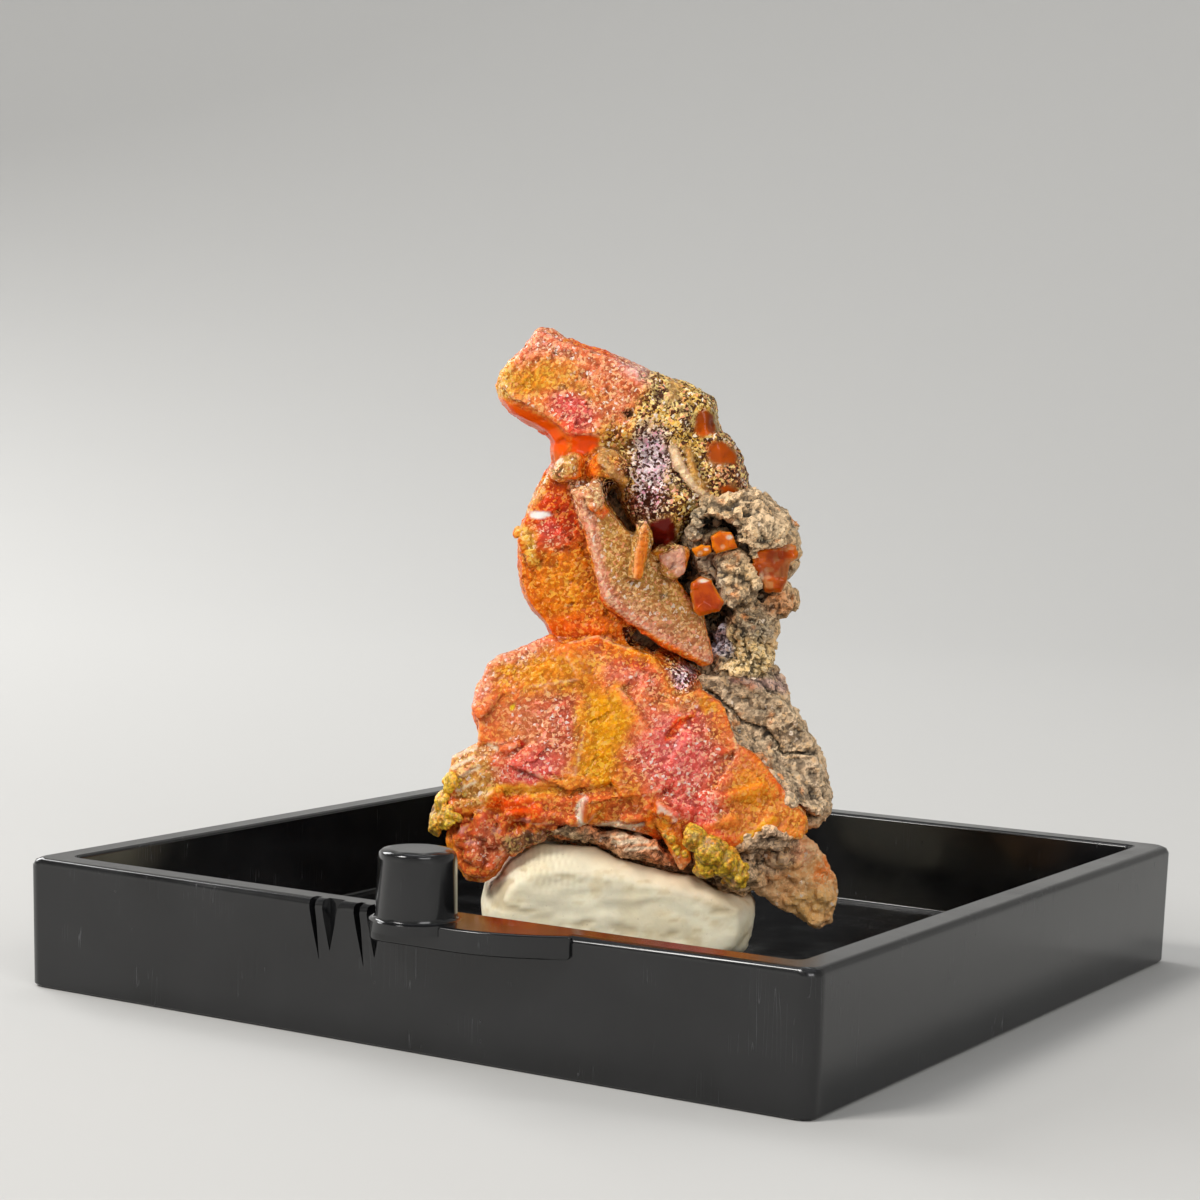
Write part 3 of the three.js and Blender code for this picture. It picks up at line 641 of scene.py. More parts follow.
def plastic_material(name):
    """Black polystyrene: glossy, with cloudy handling marks, fine scratches and dust."""
    n = Nodes(name)
    cloud = n.noise(6.0, 4.0, 0.6)
    near = n.ramp(n.cells(1.5, n.place, "Distance"), 0.05, 0.03)
    specks = n.maths("MULTIPLY", near, n.ramp(cloud, 0.55, 0.62))
    lines = []
    for turn, size, low, high in (((0.3, 0.2, 0.6), 3.0, 0.55, 0.6), ((-0.9, 0.7, 1.7), 2.4, 0.42, 0.37)):
        hair = n.maths("SUBTRACT", n.noise(size, 0.0, 0.5, (9, 9, 0.25), turn), 0.5)
        thin = n.ramp(n.maths("ABSOLUTE", hair), 0.006, 0.001)
        lines.append(n.maths("MULTIPLY", thin, n.ramp(cloud, low, high)))
    scratch = n.maths("MULTIPLY", n.maths("MAXIMUM", *lines), 0.3)
    base = n.mix(n.ramp(cloud, 0.35, 0.65), (0.0045, 0.0046, 0.005), (0.010, 0.0102, 0.011))
    worn = n.mix(scratch, base, (0.16, 0.16, 0.17))
    return n.set(Base__Color=n.mix(n.maths("MULTIPLY", specks, 0.5), worn, (0.4, 0.38, 0.35)),
                 Roughness=n.maths("ADD", n.ramp(cloud, 0.35, 0.7, 0.08, 0.24), scratch),
                 Normal=n.bump((specks, 0.5, 0.04)), IOR=1.55)


# ---------------------------------------------------------------- upper crystals

ORANGE = (232, 112, 22)
FLAME = (255, 92, 10)
PINK = (228, 144, 100)
MAGENTA = (228, 88, 88)
CRIMSON = (218, 90, 66)
AMBER = (236, 158, 10)
DEEP = (190, 34, 4)
MAROON = (112, 34, 30)
GOLD = (214, 170, 70)
TAN = (200, 152, 90)
ROSE = (210, 138, 108)
LILAC = (190, 168, 184)
GREY = (146, 126, 92)
PALE = (255, 232, 196)
CREAM = (255, 226, 176)
UMBER = (62, 28, 16)

GLOW_RIM = path(-9.64, 38.79, -9.09, 37.98, -8.12, 37.41, -6.92, 36.85, -6.24, 36.04, -5.85, 34.63,
                -4.84, 34.78, -4.82, 36.32, -5.62, 37.25, -6.95, 37.92, -8.02, 38.24, -8.75, 38.58)
ORANGE_FACE = path(-4.74, 36.44, -3.7, 36.59, -2.92, 36.38, -2.97, 35.84, -3.66, 35.41, -4.01, 35.16,
                   -4.67, 35.38)
TOP_EDGE = path(-5.33, 42.93, -3.88, 42.67, -2.19, 42, -1.1, 41.44)
GREY_FACE = path(1.55, 40.3, 2.37, 40.5, 2.36, 39.14, 1.59, 38.76)
WINDOWS = [
    path(3.42, 37.98, 4, 38.48, 4.97, 38.15, 5.06, 37.08, 3.94, 36.57, 3.39, 37.03),
    path(4.3, 36.2, 5.3, 36.5, 6.4, 35.7, 6.3, 35, 5.2, 34.8, 4.4, 35),
    path(5.24, 33.38, 6.18, 33.76, 6.45, 33.05, 5.62, 32.79),
]
HOLE = path(-1.43, 38.19, -0.79, 38.39, -0.6, 37.98, -1.06, 37.67)
CAVITY = path(-2.55, 33.78, -1.95, 33.68, -1.34, 33.1, -1.3, 31.56, -0.43, 30.28, -0.91, 30.39,
              -2.14, 31.89, -2.53, 32.95)
CURL_PIT = path(-2, 34.9, -1.2, 35, -0.8, 34.3, -1.2, 33.8, -1.8, 34.2)
NECK_SHADE = path(-2.9, 35.9, -1, 35.7, -0.7, 34.2, -2.6, 34)
RIDGES = [  # thin curled ridges: line, radius, colour
    (path(-1.8, 35.5, -2.6, 35.6, -2.7, 35, -2, 34.3, -1.2, 33.6), 0.28, (198, 148, 84)),
    (path(2.05, 35.8, 2.4, 34.9, 2.9, 34.1, 3.5, 33.4, 4.2, 32.9), 0.3, (226, 196, 156)),
    (path(3, 35.8, 3.2, 35, 3.5, 34.2, 4.1, 33.4), 0.2, (196, 146, 74)),
    (path(-1.2, 33.6, -1.6, 32.9, -1.5, 31.9, -0.9, 31, -0.3, 30.3), 0.2, (212, 154, 70)),
]
RIDGE_SHADOW = path(2.6, 35.7, 2.95, 35, 3.35, 34.2, 3.7, 33.7)
RED_BLOCK = path(0.51, 30.88, 1.92, 31.4, 2.42, 30.82, 2.51, 29.75, 1.75, 29.25, 0.79, 29.34)
CRUMB_A = path(-5.53, 34.41, -5.08, 35.01, -4.13, 35.22, -4.04, 33.86, -5.39, 33.46, -5.99, 33.68)
CRUMB_B = path(-3.14, 33.66, -2.54, 33.26, -2.51, 32.37, -2.97, 31.77, -3.51, 32.11, -3.59, 33.05)
GLINT = path(-7.38, 31.34, -6.16, 31.47, -5.92, 31.16, -6.75, 30.89, -7.33, 31.01)
YELLOW_CRUST = path(-8.26, 30.17, -7.83, 30.42, -7.06, 29.52, -6.53, 27.5, -7.22, 27.88, -7.86, 28.95)
TAN_ARC = path(-4.97, 34.72, -6.04, 33.74, -6.96, 32.48, -7.68, 31.37)
TABLET = path(-4.28, 32.9, -3.51, 31.85, -2.55, 31.08, -1.77, 31.9, -0.35, 30.5, 0.6, 29.1, 2.7, 27.3,
              4, 25.3, 4.8, 24.6, 5.25, 23.2, 5.4, 21.4, 3.9, 22.1, 1.71, 23.19, 0.35, 23.89,
              -0.75, 24.47, -1.57, 25.18, -2.54, 26.03, -2.85, 27.57, -3.31, 29.58, -3.89, 31.17)
TABLET_TOP = path(-4.9, 33.6, -3.4, 33.4, -3.4, 31.6, -2.9, 30.9, -3.9, 30.4, -4.4, 32)
TABLET_EDGE = path(-4.4, 33, -3.5, 29.7, -2.75, 26.6, -1.56, 24.85, -0.46, 24.13, 0.65, 23.42,
                   1.75, 22.63, 3.13, 21.86, 4.9, 21.3)
PLATES = [  # outline, how far it stands proud, thickness and any extra lean
    (path(-9.2, 21.8, -7.7, 22.3, -5.7, 23.3, -5, 22.6, -3.7, 20.5, -6, 20.1, -7.6, 19.8, -9, 19.3,
          -10.3, 17.6, -10.8, 18.4, -9.9, 21.2), 0.15, 1.2),
    (path(-10.3, 17.6, -9, 19.3, -7.6, 19.8, -6, 20.1, -4.8, 16.2, -7.2, 15.8, -8.6, 16.1, -10.3, 16.1),
     0.05, 1.2, (0.04, 0)),
    (path(-6, 20.1, -3.7, 20.6, -2.9, 19.3, -3.5, 16.2, -4, 13.3, -5.3, 13.8, -8.2, 14.9, -7.2, 15.9,
          -4.8, 16.3), 0.22, 1.0, (0, 0.04)),
    (path(-3.6, 20.6, -1.2, 20.1, 0.3, 18.5, -0.3, 17.1, -1.3, 14, -4, 13.4, -3.5, 16.3, -2.9, 19.3),
     0.06, 1.0),
    (path(-5, 22.6, -2.6, 23.3, -0.8, 22.6, 1.4, 22.2, -1.2, 20, -3.7, 20.5), 0.2, 1.0),
    (path(0.3, 18.4, 2.1, 19.3, 4.2, 20.1, 5.7, 19.2, 6.8, 16.2, 4.4, 15.4, 1.8, 13.4, -0.8, 13,
          -1.3, 13.9, -0.2, 17), 0.25, 1.0),
    (path(5.7, 19.2, 6.7, 16.6, 8, 15.8, 10.4, 12.9, 11.6, 11.7, 11.2, 10.4, 9.2, 10.8, 7.3, 10.3,
          5.5, 10.2, 4.8, 12.7, 6.9, 16.1), 0.08, 1.0, (0.02, 0)),
    (path(-12.1, 15, -10.6, 15.8, -9, 15.9, -9.2, 15.1, -10.3, 14.9, -11.3, 13.9, -12.1, 14),
     0.5, 1.2, (0, 0.1)),
    (path(-12.2, 14, -11.3, 13.9, -10.2, 14.9, -6.9, 15.6, -2.9, 13.9, -8.9, 13.1, -10.4, 12.4,
          -12.1, 12.2), 0.22, 1.2),
    (path(-12.2, 12.2, -10.4, 12.4, -8.8, 13.3, -8.4, 12.5, -9.8, 11.6, -11.9, 11.2), 0.5, 1.2, (0, -0.1)),
    (path(-11.9, 10.1, -9.4, 11.5, -8.9, 9.7, -8.4, 9, -9.5, 7.4, -10.8, 7.4, -11.6, 8.4),
     0.12, 1.2),
    (path(-10, 12.3, -5.6, 12.9, -2, 12.5, -3, 11.2, -6.5, 11, -9.6, 11.4), 0.1, 1.0),
    (path(-7.1, 43.4, -5.3, 42.6, -2.2, 41.7, -0.3, 40.9, -1.6, 38.3, -3, 36.6, -4.9, 36.7, -6.9, 38.2,
          -8.5, 38.8, -9.4, 39.6, -9.3, 40.8, -8, 42.2), 0.05, 0.9),
]
NECK_HOLE = path(-3.1, 33.9, -2.4, 33.9, -1.8, 33.7, -1.5, 33.1, -1.7, 32, -2.4, 32, -2.5, 33.1, -2.9, 33.5)
RED_STRIP = path(-12.1, 10.1, -11.1, 10.5, -9.3, 11.9, -9.4, 11.5, -10.5, 10.8, -11.3, 10)
GLOSS_REFLECTION = path(1.2, 12.9, 1.8, 12.7, 3.1, 12, 3.3, 11.7, 2, 12.2, 1.5, 12.3)
CURVE_BAND = path(1, 12.8, 1, 12.1, 1.2, 11.1, 1.7, 10.4, 2.3, 10)
YELLOW_EDGE = path(7, 10.7, 7.8, 10.9, 8.6, 11.3, 9.3, 12)
DEEP_FACETS = path(4.7, 10.9, 6.5, 11.8, 7.7, 12.1, 7.1, 10.8, 5.5, 10.2)
FOOT_CRUST = path(-8.6, 9.9, -7.4, 10.3, -5.7, 10.6, -3.6, 10.5, -1.6, 10, 1.4, 8.9, 3.8, 8.1, 3.2, 7.2,
                  0, 8.2, -3.2, 9.5, -5.5, 9.8, -7.3, 8.9, -8.4, 9)
STRIATED = path(-2.8, 11.3, -0.9, 11.7, 1, 11.5, 2.2, 10.2, 3.6, 9, 3.6, 8, 1.4, 8.7, -1.6, 9.7, -2.8, 10.3)
FINE_LINES = [path(-2, 10.9, 0.7, 11.2), path(-1.3, 9.9, 0.9, 10.3), path(-1.6, 10.45, -0.2, 10.75),
              path(-9.6, 16, -9, 15.7), path(-12, 15, -10.4, 15.7), path(-12, 14.3, -10.6, 15.1),
              path(-11.9, 13.6, -10.2, 14.5), path(-11.6, 12.9, -10.4, 13.5)]
FINE_LINES += [[(-2.4 + 0.5 * n, 11.0 - 0.38 * n), (-0.7 + 0.6 * n, 11.3 - 0.4 * n)] for n in range(5)]
SMALL_GROWTHS = [  # x, z, sizes, turns, how proud: blocks and thin plates that stand on the near side
    (-9.9, 10.7, (0.9, 1.7, 0.9), (0, -15, 25), 0.25),
    (-7.5, 11.5, (2.0, 0.9, 0.5), (35, -10, 0), 0.25), (-5.0, 11.4, (1.3, 0.7, 0.5), (20, 12, 0), 0.2),
    (2.2, 12.1, (1.7, 0.9, 0.4), (15, 28, -10), 0.3), (0.2, 11.6, (1.6, 0.4, 0.4), (0, -8, 0), 0.15),
    (5.9, 11.2, (2.2, 1.1, 0.5), (10, -15, 10), 0.15), (-8.0, 29.9, (0.9, 0.8, 0.6), (10, 20, 30), 0.1),
    (-7.6, 29.2, (0.8, 1.0, 0.5), (0, -20, 10), 0.12), (-7.1, 28.3, (0.7, 1.0, 0.5), (15, 5, -20), 0.1),
    (-8.1, 15.9, (1.6, 0.5, 0.5), (20, -18, 0), 0.25), (6.6, 10.3, (1.0, 0.6, 0.5), (0, 10, 0), 0.3),
]
UPRIGHT = path(0.3, 31.1, 0.5, 30.5, 0.45, 28.9, 0.1, 27.2, -0.35, 27.3, -0.25, 29.1, 0.05, 30.5)
PINK_BLOCK = path(1.4, 28.8, 2.8, 29.4, 3, 27.8, 2.3, 27.2, 1.5, 27.6)
BROKEN_FOOT = path(-11.5, 10.4, -9, 11.3, -6, 11.7, -3.6, 11.2, -4, 10.4, -7, 10.3, -9, 9.6, -9.4, 7.8,
                   -11, 7.7)
SLITS = [
    path(-8.15, 15.56, -7.75, 15.96, -7.22, 16.04, -7.68, 15.61),
    path(-5.47, 14.22, -5, 14.19, -4.46, 14.04, -4.99, 13.85),
    path(1.97, 17.13, 2.88, 18.04, 3.81, 18.3, 3.76, 17.77, 2.91, 17.09, 2.09, 16.78),
]
SPIKE = path(-3.3, 13, -3, 11.9, -3.05, 11.15, -3.35, 11.1, -3.45, 11.9)
GLINT_STREAKS = path(3.4, 13.93, 4.57, 13.83, 5.64, 12.69, 5.27, 12.28, 4.08, 13.03)
TABLET_DIM = path(-1.6, 31.8, -0.2, 30.4, 0.7, 29.1, 2.7, 27.3, 4, 25.3, 5.2, 23.4)
UNDER_TIP = path(1.6, 22.3, 2.6, 21.9, 4.6, 21, 3.9, 20.2, 2.9, 20.2, 2.3, 21.2)
UNDER_TABLET = path(-0.99, 23.91, -0.18, 23.8, 1.49, 22.49, 1.23, 22.08, -0.42, 22.71, -0.98, 23.37)
TABLET_SPOT = path(1.35, 26.21, 1.89, 26.36, 2.03, 25.96, 1.5, 25.81)
THIN_EDGE = path(-2.4, 25.77, -1.56, 24.85, -0.46, 24.13, 0.65, 23.42, 1.75, 22.63, 3.13, 21.86,
                 4.51, 21.08)


def tablet_face(p):
    """1 on the tan coated front of the tablet, 0 elsewhere."""
    front = -4.0 + 0.22 * (p[:, 0] - 0.15)
    reach = 0.5 * step(29.5, 31.0, p[:, 2])
    skin = 1 - step(0.25, 0.5, p[:, 1] - front - reach)
    return area(TABLET, 0.1)(p) * skin * (1 - area(UPRIGHT, 0.06)(p))


def sparkling_zone(p):
    """1 on the rough gold and lavender druse right of the blade's clean half."""
    q = warped(p, 1.6, 0.5, 3)
    zone = step(-0.8, 0.8, q[:, 0] + 0.85 * (38.5 - q[:, 2]) * 0.35 + 0.4) * step(28.6, 29.6, p[:, 2])
    clean = path(-9, 33.6, -2.4, 34.2, -1.4, 31.8, 1, 28.6, 1, 20, -9, 20)
    return zone * (1 - area(clean, 0.3)(p))


def upper_tint(p):
    """Colours of the disc, the tablet and the blade above it."""
    front = 1 - step(-0.5, 2.0, p[:, 1])
    near = near_side(p, front)
    q = warped(p, 1.6, 0.5, 3)
    mottle = fractal(p, 2.2, 11)
    tint = evenly(p, ORANGE)
    paint = partial(blend, tint)
    paint(step(-0.1, 0.5, mottle) * 0.6, AMBER)
    paint(step(0.1, 0.6, -mottle) * 0.6, CRIMSON)
    blade = step(34.2, 35.6, p[:, 2] + 0.45 * p[:, 0])
    paint(blade * 0.75, PINK)
    paint(spot((-7.3, 40.2), (1.9, 1.2), 8, 0.9)(q) * 0.9, AMBER)
    paint(spot((-4.2, 39.9), (1.6, 0.7), -25, 0.9)(q) * 0.5, AMBER)
    paint(spot((-1.7, 36.3), (1.2, 1.2), 0, 0.7)(q) * 0.9, (226, 160, 48))
    paint(spot((-4.9, 38.3), (2.2, 0.95), -35)(q) * 0.85, MAGENTA)
    paint(spot((-6.4, 42.4), (1.6, 1.0), -20)(q) * 0.6, (230, 146, 118))
    paint(spot((-9.3, 40.2), (0.7, 1.7))(q) * 0.8, GOLD)
    # Painted glow: the thin left rim in bright flame orange.
    paint(area(GLOW_RIM, 0.35)(q), FLAME)
    paint(stroke(TOP_EDGE, 0.25, 0.2)(q) * 0.9, FLAME)
    # Painted sheen: a pale pink highlight on the blade's upper right.
    paint(spot((0.6, 40.3), (2.4, 0.8), -28)(q) * 0.85, (238, 192, 186))
    sparkling = sparkling_zone(p)
    paint(sparkling * 0.9, GOLD)
    paint(sparkling * step(-0.1, 0.4, fractal(p, 1.4, 23)) * 0.8, GREY)
    paint(spot((0.6, 35.2), (1.2, 2.2))(q) * sparkling * 0.8, LILAC)
    paint(spot((0.5, 32.2), (1.9, 1.2))(q) * sparkling * 0.9, MAROON)
    paint(spot((5.6, 34.6), (1.5, 2.6), 10)(q) * sparkling * 0.8, (140, 84, 54))
    paint(area(GREY_FACE, 0.15)(p) * 0.8, TAN)
    for window in WINDOWS:
        paint(area(window, 0.15)(warped(q, 0.7, 0.25, 97)) * front, (182, 76, 6))
    disc = 1 - step(34.0, 34.8, p[:, 2] + 0.6 * (p[:, 0] + 4))
    disc *= 1 - step(-3.0, -1.8, p[:, 0] - 0.1 * (27 - p[:, 2]))
    paint(disc * 0.9, (214, 98, 4))
    paint(disc * spot((-5.6, 30.8), (1.9, 2.6), 15)(q) * 0.9, (206, 58, 12))
    paint(disc * spot((-6.0, 29.7), (1.1, 0.8))(q) * 0.6, MAGENTA)
    paint(disc * spot((-4.6, 26.9), (2.0, 2.4), 0, 0.8)(q) * 0.85, (226, 138, 12))
    paint(disc * spot((-4.4, 23.4), (2.0, 1.1))(q) * 0.6, (216, 82, 12))
    paint(area(YELLOW_CRUST, 0.25)(q) * 0.9, (222, 176, 66))
    paint(stroke(TAN_ARC, 0.35, 0.25)(q) * 0.8, (214, 168, 84))
    paint(near(ORANGE_FACE, 0.08), (255, 88, 6))
    paint(near(CRUMB_A, 0.2, q), (204, 156, 82))
    paint(spot((-5.2, 34.0), (0.5, 0.4), 20)(q) * front * 0.7, (96, 70, 34))
    paint(near(CRUMB_B, 0.2, q), (206, 168, 118))
    paint(area(RED_BLOCK, 0.15)(p), (96, 18, 8))
    # Painted shade in the hollows: the cavity brown, the neck hole and the small hole near black.
    paint(near(CAVITY, 0.2) * 0.8, (166, 92, 48))
    paint(near(NECK_HOLE, 0.15) * 0.9, (44, 22, 12))
    paint(near(HOLE, 0.12) * 0.85, (52, 32, 20))
    # Painted shadow: two dark lines beside the ridges on the right.
    for line in (RIDGE_SHADOW, [(x - 0.95, z - 0.1) for x, z in RIDGE_SHADOW]):
        paint(stroke(line, 0.16, 0.1)(p) * front, UMBER)
    paint(near(NECK_SHADE, 0.3, q) * 0.6, (176, 120, 56))
    for line, _, colour in RIDGES:
        paint(stroke(line, 0.3, 0.08)(p) * front, colour)
    # Painted shade inside the curl's pit.
    paint(near(CURL_PIT, 0.15) * 0.6, (150, 74, 28))
    face = tablet_face(p)
    paint(face, (200, 150, 72))
    # Painted shade: the tablet's right side darker brown under the overhang.
    dim = 1 - step(0.0, 1.2, edge_distance(p[:, [0, 2]], TABLET_DIM, False))
    paint(face * dim * 0.55, (150, 100, 48))
    paint(near(TABLET_TOP, 0.15) * (1 - face) * 0.85, (222, 172, 120))
    paint(near(CRUMB_B, 0.2) * 0.9, (206, 168, 118))
    edge = edge_distance(p[:, [0, 2]], TABLET_EDGE, False)
    paint(face * (1 - step(0.5, 1.1, edge + 0.3 * mottle)) * 0.95, ROSE)
    paint(face * step(0.0, 3.0, 26.5 - p[:, 2] - 0.5 * (p[:, 0] - 2)) * 0.6, ROSE)
    paint(face * (1 - step(0.02, 0.12, np.abs(edge - 0.42))) * 0.5, PALE)
    paint(area(TABLET_SPOT, 0.1)(p) * face * 0.8, (90, 76, 60))
    paint(near(UPRIGHT, 0.12) * (1 - face) * 0.95, (222, 116, 34))
    upright_rim = stroke(UPRIGHT[:1] + UPRIGHT[-1:] + UPRIGHT[-2:-4:-1], 0.12, 0.1)(p)
    paint(upright_rim * front * (1 - face) * 0.6, (232, 176, 116))
    paint(near(PINK_BLOCK, 0.12) * (1 - face) * 0.95, (204, 150, 126))
    # Painted shade: dark maroon under the tablet's lower end.
    paint(near(UNDER_TABLET, 0.2, q) * 0.85, (96, 30, 22))
    paint(stroke(THIN_EDGE, 0.16, 0.1)(p) * front * (1 - face) * 0.9, (216, 84, 24))
    return tint


# ---------------------------------------------------------------- lower crystals

def lower_tint(p):
    """Colours of the fan of plates."""
    q = warped(warped(p, 1.8, 0.6, 5), 0.6, 0.35, 6)
    mottle = fractal(p, 2.4, 12)
    tint = evenly(p, (228, 120, 42))
    blend(tint, step(-0.1, 0.5, mottle) * 0.6, AMBER)
    blend(tint, step(-0.1, 0.5, -mottle) * 0.5, CRIMSON)
    patches = [
        (spot((-6.4, 20.9), (3.6, 1.3), -8), 0.85, (232, 146, 14)),
        (spot((-7.6, 18.7), (1.8, 1.5)), 0.6, (230, 128, 66)),
        (stroke(path(-10.6, 18.6, -9.8, 21.2, -9.2, 21.8, -7.7, 22.3, -5.4, 23.4), 0.4, 0.5), 0.8,
         (232, 150, 118)),
        (spot((-6.4, 17.4), (2.4, 2.2), 0, 0.8), 0.7, (224, 132, 96)),
        (spot((-6.5, 14.4), (2.5, 1.4), 0, 0.8), 0.9, (228, 98, 96)),
        (spot((-4.6, 17.2), (1.2, 2.2), 20, 0.8), 0.6, (230, 116, 96)),
        (spot((-0.4, 20.8), (2.0, 1.2), -20, 0.8), 0.7, (230, 122, 98)),
        (spot((4.0, 12.4), (2.2, 1.0), -25), 0.8, (228, 100, 92)),
        (spot((2.6, 16.0), (3.0, 2.6), -20, 0.7), 0.9, (232, 104, 104)),
        (area(path(-3.03, 19.58, -1.05, 19.87, 0.05, 18.25, -0.37, 16.59, -1.27, 15.38, -1.35, 13.96,
                   -3.69, 13.66, -3.85, 15.07, -3.18, 16.51, -3.57, 17.91), 0.9), 0.95, (232, 158, 8)),
        (spot((-7.0, 13.1), (3.0, 0.6), 4), 0.8, (240, 164, 36)),
        (spot((-7.4, 11.9), (1.7, 0.7)), 0.9, (236, 84, 14)),
        (spot((0.0, 22.2), (1.5, 0.6), -12), 0.7, DEEP),
        (area(path(1.36, 22.32, 2.18, 22.47, 2.44, 21.64, 1.62, 21.62), 0.12), 0.9, (236, 84, 10)),
        # painted shade under the tablet's tip
        (area(UNDER_TIP, 0.2), 0.9, (124, 40, 36)),
        (spot((3.1, 20.6), (0.6, 0.6)), 0.7, LILAC),
        (spot((2.6, 19.2), (1.4, 1.1)), 0.5, (236, 160, 60)),
        (area(SLITS[0], 0.08), 0.95, (176, 26, 6)),
        (area(SLITS[1], 0.08), 0.95, (150, 16, 24)),
        (area(SLITS[2], 0.12), 0.95, (250, 76, 14)),
        # the spike near-white: its own pale colour with a painted glint on it
        (area(SPIKE, 0.12), 0.95, (250, 238, 214)),
        (area(RED_STRIP, 0.1), 0.95, (222, 52, 8)),
        (spot((-7.5, 11.6), (1.5, 0.5), -12), 0.9, (240, 84, 10)),
        (spot((-9.9, 10.7), (0.6, 0.9), -15), 0.8, (220, 128, 104)),
        (area(DEEP_FACETS, 0.15), 0.9, (222, 58, 14)),
        (area(STRIATED, 0.3), 0.75, (226, 150, 92)),
        (stroke(CURVE_BAND, 0.3), 0.95, (232, 98, 14)),
        # painted reflection: the glossy patch near-white
        (area(GLOSS_REFLECTION, 0.12), 0.85, (252, 226, 204)),
        (area(path(6.8, 13.96, 8.19, 15.18, 10.32, 13.67, 12.2, 11.89, 11.53, 10.56, 9.63, 10.89,
                   8.33, 10.73, 7.16, 10.56, 4.81, 10.89), 0.3), 0.85, (236, 138, 52)),
        (spot((7.6, 13.6), (1.2, 0.9), -30), 0.8, (244, 146, 24)),
        (stroke(path(7.01, 10.61, 7.78, 10.85, 8.54, 11.27, 9.17, 11.87), 0.2), 0.9, (250, 178, 34)),
        (spot((10.2, 13.4), (2.0, 0.6), -40), 0.8, (222, 66, 20)),
        (area(path(3.96, 19.42, 4.88, 19.58, 5.68, 19.08, 5.64, 18.42, 4.65, 18.32, 4.05, 18.77), 0.15),
         0.95, (238, 148, 34)),
        (area(path(-12.13, 15.18, -10.38, 16.06, -8.81, 14.8, -8.66, 13.62, -9.93, 12.39, -12.16, 11.61,
                   -12.09, 13.52), 0.4), 0.85, (210, 158, 76)),
        (area(path(-12.25, 10.54, -9.55, 11.57, -7.4, 10.56, -8.07, 9.11, -9.44, 7.16, -11.1, 7.23,
                   -11.6, 8.41), 0.3), 0.8, (204, 86, 44)),
        (spot((-9.6, 9.4), (0.9, 1.1)), 0.35, (206, 140, 104)),
        (area(path(-1.97, 11.22, 0.84, 11.42, 0.65, 9.99, -1.46, 9.81), 0.3), 0.6, (190, 110, 60)),
        (area(path(-8.28, 18.48, -7.93, 18.49, -7.92, 18.14, -8.27, 18.13), 0.08), 0.9, (246, 214, 30)),
    ]
    for weight, strength, colour in patches:
        blend(tint, weight(q) * strength, colour)
    return tint


def pleats(p):
    """Crisp ribs that run down and outwards from under the disc, -1 to 1."""
    x, z = p[:, 0] + 1.0, np.maximum(26.0 - p[:, 2], 1.0)
    spread = np.stack([np.arctan2(x, z) * 9.0, np.hypot(x, z) * 0.2, p[:, 1] * 0.4], axis=1)
    return 1 - 2 * np.abs(noise(spread, 1.7, 201)), noise(spread, 0.8, 203)


